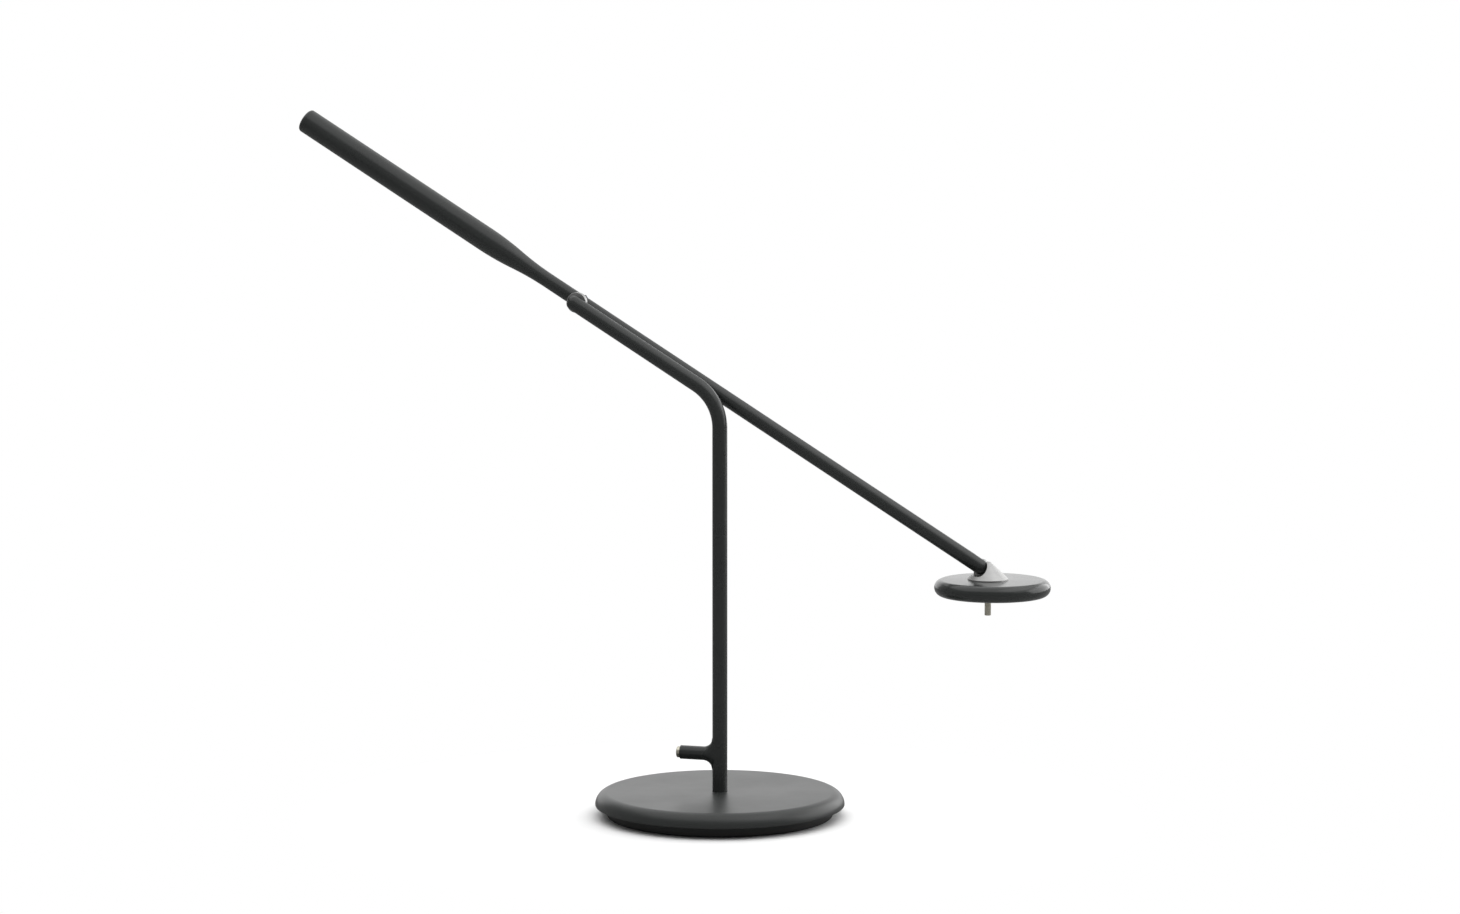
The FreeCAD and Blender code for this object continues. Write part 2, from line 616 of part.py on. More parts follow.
# ---------------------------------------------------------------- places of the two joints

def at_pivot(obj, y="0"):
    """Carry a piece drawn about the origin to the arm pivot, its X axis running down the slope."""
    turn = FreeCAD.Rotation(FreeCAD.Vector(0, 1, 0), value("Sizes.slope"))
    put(obj, "Places.pivot_x", y, "Places.pivot_z", turn)
    obj.setExpression("Placement.Rotation.Angle", "Sizes.slope")
    return obj


def at_joint(obj):
    """Carry a piece drawn about the origin to the head joint, its X axis running up the arm."""
    turn = FreeCAD.Rotation(FreeCAD.Vector(0, 1, 0), value("Sizes.slope") + 180)
    put(obj, "Places.joint_x", "Sizes.arm_side", "Places.joint_z", turn)
    obj.setExpression("Placement.Rotation.Angle", "Sizes.slope + 180")
    return obj


def end_plug(bore_r, lead_y, *tools):
    """Domed plug with its dome at the origin and its grip along +X, pierced for the lead."""
    length = "Sizes.plug_seat + Sizes.plug_grip"
    collar = cylinder("Places.tube_r", "Sizes.plug_seat", turn=ALONG_X)
    grip = cylinder(bore_r, length, turn=ALONG_X)
    bore = cylinder("Places.lead_bore_r", length, y=lead_y, turn=ALONG_X)
    return cut(fuse(sphere("Places.tube_r"), collar, grip), bore, *tools)


# ---------------------------------------------------------------- arm pivot

def pivot_bolt():
    """Hollow bolt with a window towards the post lead and a slot towards the arm lead."""
    start = "Places.post_flat - Sizes.bolt_grip"
    length = "Places.nut_face + Places.nut_depth - (%s)" % start
    far = "Sizes.arm_side + Places.lead_side"
    radius = "Sizes.bolt_dia / 2"
    return cut(
        cylinder(radius, length, y=start, turn=ALONG_Y),
        cylinder("Places.lead_bore_r", "%s + Places.lead_bore_r - (%s)" % (far, start), y=start, turn=ALONG_Y),
        cylinder("Places.lead_bore_r", radius, turn=ALONG_X),
        block(radius, "2 * Places.lead_bore_r", "2 * " + radius, "0", far + " - Places.lead_bore_r", "-" + radius),
    )


def arm_pivot():
    """Post end, disc, bolt, washers and cap nut of the arm pivot."""
    bolt_r = "Sizes.bolt_dia / 2"
    spot = cylinder("Places.spot_r", "Places.tube_r", y="Places.post_flat", turn=ALONG_Y)
    thread = cylinder(bolt_r, "Sizes.bolt_grip", y="Places.post_flat - Sizes.bolt_grip", turn=ALONG_Y)
    keep("post_end_plug", at_pivot(end_plug("Places.post_bore_r", "0", spot, thread)))
    disc_far = "Places.post_flat + Places.disc_height"
    spring_r = "Sizes.cap_nut_width / 2"
    for label, outer, height, near in (
            ("pivot_disc", "Sizes.disc_dia / 2", "Places.disc_height", "Places.post_flat"),
            ("friction_washer", "Sizes.disc_dia / 2 - 1", "Sizes.friction_height", disc_far),
            ("spring_washer", spring_r, "Sizes.spring_washer_height", "Places.far_flat")):
        keep(label, at_pivot(ring(outer, bolt_r, height, y=near, turn=ALONG_Y)))
    keep("pivot_bolt", at_pivot(pivot_bolt()))
    dome = rounded(cylinder("Sizes.cap_nut_width / 2 - 0.4", "Sizes.cap_nut_height"), "Sizes.cap_nut_height / 3",
                   [("Sizes.cap_nut_height", "Sizes.cap_nut_width / 2 - 0.4")])
    nut = cut(fuse(hexagon("Sizes.cap_nut_width", "Sizes.cap_nut_hex"), dome),
              cylinder(bolt_r, "Places.nut_depth"))
    keep("pivot_nut", put(nut, "Places.pivot_x", "Places.nut_face", "Places.pivot_z", ALONG_Y))


# ---------------------------------------------------------------- arm

def arm_tube():
    """Arm tube: thick rear stretch, S-shaped taper of two equal arcs, thin stretch to the head joint."""
    rear = "-Sizes.arm_rear + Sizes.cap_height"
    front = "Sizes.arm_front - Sizes.plug_seat"
    middle = "-(Sizes.taper_far + Sizes.taper_near) / 2"
    thin = "Sizes.tube_dia / 2"
    thick = "Sizes.weight_dia / 2"
    shell = turned_body("arm_shell", [
        (front, "Places.arm_bore_r"),
        (front, thin),
        ("-Sizes.taper_near", thin, "-Sizes.taper_near", thin + " + Places.taper_radius", -1),
        (middle, "(%s + %s) / 2" % (thin, thick), "-Sizes.taper_far", thick + " - Places.taper_radius", 1),
        ("-Sizes.taper_far", thick),
        (rear, thick),
        (rear, "Places.weight_bore_r"),
        ("-Sizes.taper_far", "Places.weight_bore_r"),
        ("-Sizes.taper_near", "Places.arm_bore_r"),
    ], "H_Axis")
    tools = [
        cylinder("Places.spot_r", "Places.tube_r", y="Places.post_flat", turn=ALONG_Y),
        cylinder("Places.spot_r", "Places.tube_r", y="-Places.post_flat - Places.tube_r", turn=ALONG_Y),
        cylinder("Sizes.bolt_dia / 2 + Sizes.running", "4 * Places.tube_r", y="-2 * Places.tube_r", turn=ALONG_Y),
    ]
    keep("arm_tube", at_pivot(cut(shell, *tools), "Sizes.arm_side"))


def arm_inside():
    """Hub, counterweight core, rear cap and lead."""
    hub = cut(
        cylinder("Places.arm_bore_r", "Sizes.hub_length", x="-Sizes.hub_length / 2", turn=ALONG_X),
        cylinder("Sizes.bolt_dia / 2 + Sizes.running", "4 * Places.tube_r", y="-2 * Places.tube_r", turn=ALONG_Y),
        cylinder("Places.lead_bore_r", "Sizes.hub_length", y="Places.lead_side", turn=ALONG_X),
    )
    keep("arm_hub", at_pivot(hub, "Sizes.arm_side"))
    core = cylinder("Places.weight_bore_r", "Sizes.core_length", x="-Sizes.arm_rear + Sizes.core_inset",
                    turn=ALONG_X)
    keep("counterweight_core", at_pivot(group([core]), "Sizes.arm_side"))
    cap = rounded(cylinder("Sizes.weight_dia / 2", "Sizes.cap_height"), "Sizes.cap_round",
                  [("Sizes.cap_height", "Sizes.weight_dia / 2")])
    grip = cylinder("Places.weight_bore_r", "Sizes.cap_grip", z="-Sizes.cap_grip")
    rear_cap = put(fuse(cap, grip), "-Sizes.arm_rear + Sizes.cap_height", "0", "0", ALONG_MINUS_X)
    keep("rear_cap", at_pivot(group([rear_cap]), "Sizes.arm_side"))
    start = "Sizes.bolt_dia / 2 + Sizes.loose + 0.1"
    end = "Sizes.arm_front - Sizes.lap_length + 1.4"
    lead = cylinder("Places.lead_r", "%s - (%s)" % (end, start), start, "Places.lead_side", turn=ALONG_X)
    keep("arm_lead", at_pivot(group([lead]), "Sizes.arm_side"))


def head_joint():
    """Half-lapped arm end, joint screw and washers."""
    around_end = "2 * Places.tube_r"
    lap = block("%s + Sizes.lap_length" % around_end, around_end, "2 * " + around_end,
                "-" + around_end, "0", "-" + around_end)
    thread = cylinder("Sizes.hinge_dia / 2", "Sizes.hinge_grip", y="-Sizes.hinge_grip", turn=ALONG_Y)
    keep("arm_end_plug", at_joint(end_plug("Places.arm_bore_r", "Places.lead_side", lap, thread)))
    lug_far = "Sizes.hinge_washer + Sizes.lug_height"
    head_y = lug_far + " + Sizes.hinge_washer"
    shank = cylinder("Sizes.hinge_dia / 2", "%s + Sizes.hinge_grip" % head_y, y="-Sizes.hinge_grip", turn=ALONG_Y)
    head = cylinder("Sizes.hinge_head_dia / 2", "Sizes.hinge_head", y=head_y, turn=ALONG_Y)
    socket = hexagon("Sizes.hinge_dia * 0.6", "Sizes.hinge_head", y=head_y + " + Sizes.hinge_head / 2", turn=ALONG_Y)
    keep("hinge_screw", at_joint(cut(fuse(shank, head), socket)))
    washers = [ring("Sizes.hinge_head_dia / 2", "Sizes.hinge_dia / 2", "Sizes.hinge_washer", y=y, turn=ALONG_Y)
               for y in ("0", lug_far)]
    keep("hinge_washers", at_joint(group(washers)))


# ---------------------------------------------------------------- head

def head_neck():
    """Turned cone with a saddle for the arm end and a lug that laps its far side."""
    foot = "Sizes.neck_dia / 2"
    spindle = turned_body("neck_cone", [
        ("0", "0"),
        (foot, "0"),
        (foot, "Sizes.neck_land"),
        ("Sizes.neck_tip", "Sizes.neck_height"),
        ("0", "Sizes.neck_height"),
    ])
    put(spindle, "Places.neck_x", "Sizes.arm_side", "Places.head_top")
    clear = "(Places.tube_r + Sizes.nose_clear)"
    near = "Sizes.arm_side - " + foot
    saddle = cut(
        spindle,
        cylinder(clear, "Sizes.neck_dia", "Places.joint_x", near, "Places.joint_z", ALONG_Y),
        block("Sizes.neck_dia", "Sizes.neck_dia", "Sizes.neck_height", "Places.joint_x - Sizes.neck_dia", near,
              "Places.joint_z - " + clear),
    )
    lug = fuse(
        cylinder("Sizes.lug_dia / 2", "Sizes.lug_height", "Places.joint_x", "Places.lug_y", "Places.joint_z",
                 ALONG_Y),
        block("Sizes.lug_dia", "Sizes.lug_height", "Sizes.neck_rise", "Places.joint_x - Sizes.lug_dia / 2",
              "Places.lug_y", "Places.head_top"),
    )
    slanted = cylinder("Places.lead_bore_r", "Sizes.lug_dia / 2", "Places.lead_turn", "Places.lead_side", "0",
                       ALONG_X)
    return keep("head_neck", cut(
        fuse(saddle, lug),
        cylinder("Sizes.hinge_dia / 2 + Sizes.running", "2 * Sizes.lug_height", "Places.joint_x",
                 "Sizes.arm_side", "Places.joint_z", ALONG_Y),
        cylinder("Sizes.pin_thread / 2", "Sizes.pin_reach + Sizes.loose", "Places.neck_x", "Sizes.arm_side",
                 "Places.head_top"),
        lead_upright("Places.lead_bore_r", "Places.head_top"),
        lead_corner("Places.lead_bore_r"),
        at_joint(group([slanted])),
    ))


def lead_upright(radius, low):
    """The upright stretch of the head lead, from a height up to the axis of the arm."""
    height = "Places.joint_z + Sizes.lead_drop * tan(Sizes.slope) - (%s)" % low
    return cylinder(radius, height, "Places.joint_x - Sizes.lead_drop", "Sizes.arm_side + Places.lead_side", low)


def lead_corner(radius):
    """The ball where the upright stretch of the head lead turns into the axis of the arm."""
    return sphere(radius, "Places.joint_x - Sizes.lead_drop", "Sizes.arm_side + Places.lead_side",
                  "Places.joint_z + Sizes.lead_drop * tan(Sizes.slope)")


def head_shell():
    """Cover with a fully rounded edge, diffuser and the ring that holds it."""
    edge = "Sizes.head_dia / 2 - Places.head_round"
    shell = turned_body("head_shell", [
        ("0", "Places.head_top - Sizes.head_wall"),
        ("Places.cavity_r", "Places.head_top - Sizes.head_wall"),
        ("Places.cavity_r", "Places.head_bottom"),
        (edge, "Places.head_bottom", edge, "Places.head_bottom + Places.head_round", 1),
        (edge, "Places.head_top"),
        ("0", "Places.head_top"),
    ])
    put(shell, "Places.head_x", "Sizes.arm_side", "0")
    keep("head_cover", cut(
        shell,
        cylinder("Sizes.pin_thread / 2 + Sizes.loose", "Sizes.head_height", "Places.neck_x", "Sizes.arm_side",
                 "Places.sink_z"),
        lead_upright("Places.lead_bore_r", "Places.sink_z"),
    ))
    pane = cylinder("Places.cavity_r - Sizes.loose", "Sizes.diffuser_height", "Places.head_x", "Sizes.arm_side",
                    "Places.diffuser_z")
    keep("diffuser", cut(pane, cylinder("Sizes.pin_dia / 2 + Sizes.loose", "Sizes.head_height", "Places.neck_x",
                                        "Sizes.arm_side", "Places.head_bottom")))
    keep("diffuser_ring", ring("Places.cavity_r", "Places.window_r", "Sizes.lip_height", "Places.head_x",
                               "Sizes.arm_side", "Places.head_bottom"))


def light_engine():
    """Heat sink, board with its chips and screws."""
    spots = [("Places.head_x + " + x, "Sizes.arm_side + " + y)
             for x, y in around("Sizes.board_screw_circle", BOARD_SCREWS, 0.0)]
    screw_r = "Sizes.board_screw_dia / 2"
    sink = cylinder("Sizes.sink_dia / 2", "Sizes.sink_height", "Places.head_x", "Sizes.arm_side", "Places.sink_z")
    tools = [cylinder(screw_r, "Sizes.board_screw_grip", x, y, "Places.sink_z") for x, y in spots]
    tools.append(cylinder("Sizes.pin_thread / 2", "Sizes.sink_height", "Places.neck_x", "Sizes.arm_side",
                          "Places.sink_z"))
    tools.append(lead_upright("Places.lead_bore_r", "Places.sink_z"))
    keep("heat_sink", cut(sink, *tools))
    board = cylinder("Sizes.board_dia / 2", "Sizes.board_height", "Places.head_x", "Sizes.arm_side",
                     "Places.board_z")
    holes = [cylinder(screw_r, "Sizes.board_height", x, y, "Places.board_z") for x, y in spots]
    holes.append(cylinder("Sizes.pin_dia / 2 + Sizes.loose", "Sizes.board_height", "Places.neck_x",
                          "Sizes.arm_side", "Places.board_z"))
    keep("lamp_board", cut(board, *holes))
    screws = []
    for x, y in spots:
        low = "Places.board_z - Sizes.board_screw_cap"
        head = cylinder("Sizes.board_screw_head / 2", "Sizes.board_screw_cap", x, y, low)
        shank = cylinder(screw_r, "Sizes.board_height + Sizes.board_screw_grip", x, y, "Places.board_z")
        socket = hexagon("Sizes.board_screw_dia * 0.6", "Sizes.board_screw_cap / 2", x, y, low)
        screws.append(cut(fuse(head, shank), socket))
    keep("board_screws", group(screws))
    chips = []
    for circle, count in (("Sizes.outer_ring", OUTER_CHIPS), ("Sizes.inner_ring", INNER_CHIPS)):
        for x, y in around(circle, count, 180.0 / count):
            chips.append(block("Sizes.chip_width", "Sizes.chip_width", "Sizes.chip_height",
                               "Places.head_x - Sizes.chip_width / 2 + " + x,
                               "Sizes.arm_side - Sizes.chip_width / 2 + " + y,
                               "Places.board_z - Sizes.chip_height"))
    keep("light_chips", group(chips))


def aim_pin():
    """Brass pin that is the bolt between heat sink, cover and neck and the handle below the head."""
    low = "-Sizes.pin_length"
    pin = cylinder("Sizes.pin_dia / 2", "Places.sink_z - Places.head_bottom + Sizes.pin_length", z=low)
    tip = rounded(pin, "Sizes.pin_edge", [(low, "Sizes.pin_dia / 2")])
    thread = cylinder("Sizes.pin_thread / 2", "Sizes.head_wall + Sizes.sink_height + Sizes.pin_reach",
                      z="Places.sink_z - Places.head_bottom")
    keep("aim_pin", put(fuse(tip, thread), "Places.neck_x", "Sizes.arm_side", "Places.head_bottom"))


# ---------------------------------------------------------------- leads

def leads():
    """The stretches of lead that belong to the base, the post and the head."""
    keep("base_lead", fuse(
        sphere("Places.lead_r", z="Places.lead_z"),
        cylinder("Places.lead_r", "Places.inlet_y - Sizes.loose", z="Places.lead_z", turn=ALONG_Y),
        cylinder("Places.lead_r", "Places.spigot_z + Sizes.lead_entry - Places.lead_z", z="Places.lead_z"),
    ))
    rising = swept_body("lead_rising", ["Places.lead_r"], "Places.spigot_z + Sizes.lead_entry + Sizes.loose", "0")
    crossing = at_pivot(fuse(
        sphere("Places.lead_r"),
        cylinder("Places.lead_r", "Sizes.arm_side + Places.lead_side", turn=ALONG_Y),
    ))
    tap = cylinder("Places.lead_r * 0.8", "Sizes.branch_reach - Places.mouth - Sizes.module_length",
                   "0", "0", "Sizes.branch_height", ALONG_MINUS_X)
    keep("post_lead", fuse(rising, crossing, tap))
    slanted = at_joint(group([cylinder("Places.lead_r", "Sizes.lap_length - 1.7 - Places.lead_turn",
                                       "Places.lead_turn", "Places.lead_side", "0", ALONG_X)]))
    keep("head_lead", fuse(lead_upright("Places.lead_r", "Places.sink_z"), lead_corner("Places.lead_r"), slanted))


def check_and_export():
    """Stop at any broken object, then write one STEP file per piece."""
    doc.recompute()
    for obj in doc.Objects:
        if "Invalid" in obj.State or "Error" in obj.State:
            raise RuntimeError("%s (%s) is broken: %s" % (obj.Label, obj.TypeId, obj.State))
    os.makedirs("parts", exist_ok=True)
    for obj in nodes:
        shape = obj.Shape
        if shape.isNull() or not shape.isValid() or not shape.Solids:
            raise RuntimeError("%s has no valid shape" % obj.Label)
        shape.exportStep(os.path.join("parts", obj.Label + ".step"))
        print("%-20s solids %2d  volume %10.1f mm3" % (obj.Label, len(shape.Solids), shape.Volume))


for make in (base_cover, base_ballast, base_foot, base_fittings, swivel, post_tube, dimmer, arm_pivot,
             arm_tube, arm_inside, head_joint, head_neck, head_shell, light_engine, aim_pin, leads):
    make()
check_and_export()
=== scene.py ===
"""Looks of a counterweight balance desk lamp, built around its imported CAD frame.

The lamp has a weighted round base, a bent post that swivels on it, a long arm that is pivoted beside the
post and carries a disc-shaped head in front and a counterweight behind, and a push button on a short branch.
Everything is in metres in the frame of the CAD model: the origin is the centre of the base on the table,
+Z is up, +X points from the post to the head, and the arm swings in the plane Y = 16 mm.
"""

import logging
import math
from dataclasses import dataclass, field
from enum import Enum
from typing import Callable, Sequence

import bmesh
import bpy
import numpy as np
from mathutils import Matrix, Vector


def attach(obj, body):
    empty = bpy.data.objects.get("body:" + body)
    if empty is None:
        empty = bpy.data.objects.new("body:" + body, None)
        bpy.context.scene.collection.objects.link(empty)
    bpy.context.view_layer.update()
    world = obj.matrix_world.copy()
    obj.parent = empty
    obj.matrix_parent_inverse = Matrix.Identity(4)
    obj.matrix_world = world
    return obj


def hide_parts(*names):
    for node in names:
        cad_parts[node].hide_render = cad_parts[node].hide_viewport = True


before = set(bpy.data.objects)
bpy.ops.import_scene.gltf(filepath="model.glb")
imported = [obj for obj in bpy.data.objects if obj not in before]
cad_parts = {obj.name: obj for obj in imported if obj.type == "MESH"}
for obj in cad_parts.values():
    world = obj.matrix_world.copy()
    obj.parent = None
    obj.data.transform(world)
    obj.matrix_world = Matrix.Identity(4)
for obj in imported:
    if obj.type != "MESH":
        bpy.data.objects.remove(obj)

LOG = logging.getLogger("desk_lamp")
MM = 0.001
SHARP_ANGLE = math.radians(32)  # edges that turn by more than this stay sharp
FULL_ARC = 0.9999  # share of a side that an arc over the whole of it takes, so that no two points meet
OPAL_DEPTH = (0.004, 0.004, 0.0035)  # how far light goes into opal plastic, in metres

Object = bpy.types.Object
Material = bpy.types.Material
Tree = bpy.types.NodeTree
Node = bpy.types.Node
Socket = bpy.types.NodeSocket
Outputs = bpy.types.NodeOutputs


# ---------------------------------------------------------------- small geometry helpers


class Axis(Enum):
    """The way a turned piece points; the value is the axis that the lathe's frame is turned about."""

    FAR = "X"
    BACK = "Y"

    def matrix(self, place: Vector) -> Matrix:
        """Returns the transform from the lathe's frame to the lamp's frame.

        Both turns are a quarter turn clockwise, about X for FAR (+Y) and about Y for BACK (-X).

        Args:
            place: where the lathe's origin goes, in metres.
        """
        return Matrix.Translation(place) @ Matrix.Rotation(-math.pi / 2, 4, self.value)


@dataclass(frozen=True)
class Corner:
    """A corner of a turned profile.

    Attributes:
        radius: distance from the axis of turning.
        height: place along the axis.
        blend: radius of the arc that rounds the corner.
    """

    radius: float
    height: float
    blend: float = 0.0


def rounded_profile(corners: Sequence[Corner], closed: bool = False, step: float = 9.0) -> np.ndarray:
    """Turns corners into a polyline whose corners are arcs.

    At a corner with the inner half angle h, the arc of radius b leaves the two sides at the distance
    b / tan(h) from the corner, and its centre lies on the bisector at b / sin(h).

    Args:
        corners: the corners in order.
        closed: whether the last corner joins the first.
        step: largest turn between two points of an arc, in degrees.

    Returns:
        An array of (radius, height) rows in metres.
    """
    points: list[np.ndarray] = []
    count = len(corners)
    for index, corner in enumerate(corners):
        here = np.array([corner.radius, corner.height])
        is_end = not closed and index in (0, count - 1)
        if corner.blend <= 0 or is_end:
            points.append(here)
            continue
        before = corners[index - 1]
        after = corners[(index + 1) % count]
        back = np.array([before.radius, before.height]) - here
        ahead = np.array([after.radius, after.height]) - here
        back /= np.linalg.norm(back)
        ahead /= np.linalg.norm(ahead)
        half = math.acos(float(np.clip(back @ ahead, -1, 1))) / 2
        start = here + back * corner.blend / math.tan(half)
        bisector = (back + ahead) / np.linalg.norm(back + ahead)
        centre = here + bisector * corner.blend / math.sin(half)
        turn = math.pi - 2 * half
        steps = max(2, math.ceil(math.degrees(turn) / step))
        first = start - centre
        side = np.sign(back[0] * ahead[1] - back[1] * ahead[0])
        for k in range(steps + 1):
            angle = -side * turn * k / steps
            spin = np.array([[math.cos(angle), -math.sin(angle)], [math.sin(angle), math.cos(angle)]])
            points.append(centre + spin @ first)
    return np.array(points)


def grid_mesh(name: str, rings: np.ndarray, wrap_rings: bool = False) -> Object:
    """Skins a stack of closed rings and closes its ends with fans or single poles.

    Args:
        name: name of the new object.
        rings: array of shape (rings, points, 3), each ring closed on itself.
        wrap_rings: whether the last ring joins the first, as in a hollow ring.

    Returns:
        The object, with a UV map "surface" in metres: u round the ring, v along the stack.
    """
    count, around = rings.shape[:2]
    spans = np.linalg.norm(np.diff(rings, axis=0), axis=2).mean(axis=1)
    along = np.concatenate([[0.0], np.cumsum(spans)])
    mean_girth = np.linalg.norm(np.roll(rings, -1, axis=1) - rings, axis=2).sum(axis=1).mean()
    verts = rings.reshape(-1, 3).tolist()
    faces: list[tuple[int, ...]] = []
    coords: list[tuple[float, float]] = []
    last = count if wrap_rings else count - 1
    for i in range(last):
        j = (i + 1) % count
        v0, v1 = along[i], along[i + 1] if i + 1 < count else along[-1] + spans.mean()
        for k in range(around):
            m = (k + 1) % around
            u0, u1 = mean_girth * k / around, mean_girth * (k + 1) / around
            faces.append((i * around + k, i * around + m, j * around + m, j * around + k))
            coords += [(u0, v0), (u1, v0), (u1, v1), (u0, v1)]
    if not wrap_rings:
        for ring, flip in ((0, True), (count - 1, False)):
            verts.append(rings[ring].mean(axis=0).tolist())
            pole = len(verts) - 1
            for k in range(around):
                m = (k + 1) % around
                edge = (ring * around + k, ring * around + m)
                faces.append((edge[1], edge[0], pole) if flip else (edge[0], edge[1], pole))
                u0 = mean_girth * k / around
                coords += [(u0, along[ring])] * 3
    mesh = bpy.data.meshes.new(name)
    mesh.from_pydata(verts, [], faces)
    layer = mesh.uv_layers.new(name="surface")
    layer.data.foreach_set("uv", np.array(coords, dtype=np.float32).ravel())
    obj = bpy.data.objects.new(name, mesh)
    bpy.context.scene.collection.objects.link(obj)
    tidy_mesh(obj)
    return obj


def tidy_mesh(obj: Object) -> None:
    """Welds doubled points, turns the normals outward and marks the sharp edges."""
    work = bmesh.new()
    work.from_mesh(obj.data)
    bmesh.ops.remove_doubles(work, verts=work.verts, dist=2e-6)
    bmesh.ops.dissolve_degenerate(work, edges=work.edges, dist=1e-7)
    bmesh.ops.recalc_face_normals(work, faces=work.faces)
    work.to_mesh(obj.data)
    work.free()
    obj.data.shade_smooth()
    obj.data.set_sharp_from_angle(angle=SHARP_ANGLE)


def placed(rings: np.ndarray, matrix: Matrix) -> np.ndarray:
    """Carries points from a frame of their own to the lamp's frame."""
    turn = np.array(matrix)
    return rings @ turn[:3, :3].T + turn[:3, 3]


def lathe(name: str, profile: np.ndarray, matrix: Matrix, segments: int,
          hollow: bool = False) -> Object:
    """Turns a profile about its axis: point (r, z) becomes (r cos a, r sin a, z) for a full turn of a.

    Args:
        name: name of the new object.
        profile: (radius, height) rows in metres.
        matrix: transform from the lathe's frame to the lamp's frame.
        segments: points round the axis.
        hollow: whether the profile is a closed loop away from the axis.
    """
    if not hollow:
        profile = profile[profile[:, 0] > 1e-6]
    angles = np.linspace(0, 2 * math.pi, segments, endpoint=False)
    radius, height = profile[:, :1], np.repeat(profile[:, 1:], segments, axis=1)
    rings = np.stack([radius * np.cos(angles), radius * np.sin(angles), height], axis=2)
    return grid_mesh(name, placed(rings, matrix), wrap_rings=hollow)


def dome(radius: float, side: int) -> np.ndarray:
    """Profile of half a ball, from its pole at side * radius to its equator at the height 0."""
    steps = np.linspace(side * math.pi / 2, 0, 24)
    return np.stack([radius * np.cos(steps), radius * np.sin(steps)], axis=1)


def ring_profile(inner: float, outer: float, height: float, blends: Sequence[float]) -> np.ndarray:
    """Rectangular section of a ring that stands on the height 0.

    Args:
        inner: inner radius.
        outer: outer radius.
        height: height of the ring.
        blends: arcs in millimetres at the lower inner, lower outer, upper outer and upper inner corner.
    """
    places = ((inner, 0), (outer, 0), (outer, height), (inner, height))
    return rounded_profile([Corner(*place, blend * MM) for place, blend in zip(places, blends)], closed=True)


def carve(obj: Object, cutters: Sequence[Object], union: bool = False) -> Object:
    """Cuts cutters out of a piece, or joins them to it, and keeps the result as its mesh.

    Args:
        obj: the piece.
        cutters: closed objects, which are removed afterwards.
        union: joins in place of cutting.
    """
    for cutter in cutters:
        change = obj.modifiers.new("carve", "BOOLEAN")
        change.operation = "UNION" if union else "DIFFERENCE"
        change.solver = "EXACT"
        change.object = cutter
    bpy.context.view_layer.update()
    graph = bpy.context.evaluated_depsgraph_get()
    result = bpy.data.meshes.new_from_object(obj.evaluated_get(graph))
    old = obj.data
    obj.modifiers.clear()
    obj.data = result
    result.name = obj.name
    bpy.data.meshes.remove(old)
    for cutter in cutters:
        mesh = cutter.data
        bpy.data.objects.remove(cutter)
        bpy.data.meshes.remove(mesh)
    tidy_mesh(obj)
    return obj


def rod(radius: float, length: float, matrix: Matrix, segments: int = 48) -> Object:
    """A plain cylinder from its frame's origin along its frame's Z, for cutting and joining."""
    return lathe("rod", np.array([[radius, 0.0], [radius, length]]), matrix, segments)


def brick(low: Sequence[float], high: Sequence[float], matrix: Matrix | None = None) -> Object:
    """A box between two corners, for cutting and joining."""
    ring = [(low[0], low[1]), (high[0], low[1]), (high[0], high[1]), (low[0], high[1])]
    rings = np.array([[[x, y, z] for x, y in ring] for z in (low[2], high[2])])
    return grid_mesh("brick", placed(rings, matrix or Matrix.Identity(4)))


def soften(obj: Object, width: float) -> None:
    """Rounds the sharp edges of a carved piece with a live bevel."""
    bevel = obj.modifiers.new("edges", "BEVEL")
    bevel.width = width
    bevel.segments = 2
    bevel.limit_method = "ANGLE"
    bevel.angle_limit = math.radians(35)
    bevel.harden_normals = True


# ---------------------------------------------------------------- shared shader effects


def fill(node: Node, inputs: dict[str | int, object]) -> None:
    """Sets a node's inputs.

    Args:
        node: the node.
        inputs: a number, a colour or another node's output for each input.
    """
    for label, source in inputs.items():
        if isinstance(source, Socket):
            node.id_data.links.new(source, node.inputs[label])
        else:
            node.inputs[label].default_value = source


def add(tree: Tree, kind: str, inputs: dict[str | int, object] | None = None, **settings: object) -> Outputs:
    """Adds a shader node.

    Args:
        tree: the tree that it joins.
        kind: its type, without the "ShaderNode" in front.
        inputs: what fill() puts into its inputs.
        settings: its own properties, such as its operation.

    Returns:
        Its outputs.
    """
    node = tree.nodes.new(f"ShaderNode{kind}")
    for label, setting in settings.items():
        setattr(node, label, setting)
    fill(node, inputs or {})
    return node.outputs


def object_noise(tree: Tree, scale: float, detail: float, roughness: float = 0.5) -> Socket:
    """A noise in the piece's own object coordinates; scale is in cells per metre."""
    return add(tree, "TexNoise", {"Vector": add(tree, "TexCoord")["Object"], "Scale": scale,
                                  "Detail": detail, "Roughness": roughness})["Fac"]


def remap(tree: Tree, source: Socket, low: float, high: float, to_low: float = 0.0,
          to_high: float = 1.0) -> Socket:
    """Maps a value from one range to another and clamps it."""
    ends = {"From Min": low, "From Max": high, "To Min": to_low, "To Max": to_high}
    return add(tree, "MapRange", {"Value": source, **ends}, clamp=True)["Result"]


def multiply(tree: Tree, first: Socket, second: Socket) -> Socket:
    """The product of two values."""
    return add(tree, "Math", {0: first, 1: second}, operation="MULTIPLY")[0]


def relief(tree: Tree, height: Socket, strength: float | Socket, distance: float,
           under: Socket | None = None) -> Socket:
    """Turns heights into a normal, over the normal of another relief where one is given."""
    inputs = {"Height": height, "Strength": strength, "Distance": distance}
    if under is not None:
        inputs["Normal"] = under
    return add(tree, "Bump", inputs)["Normal"]


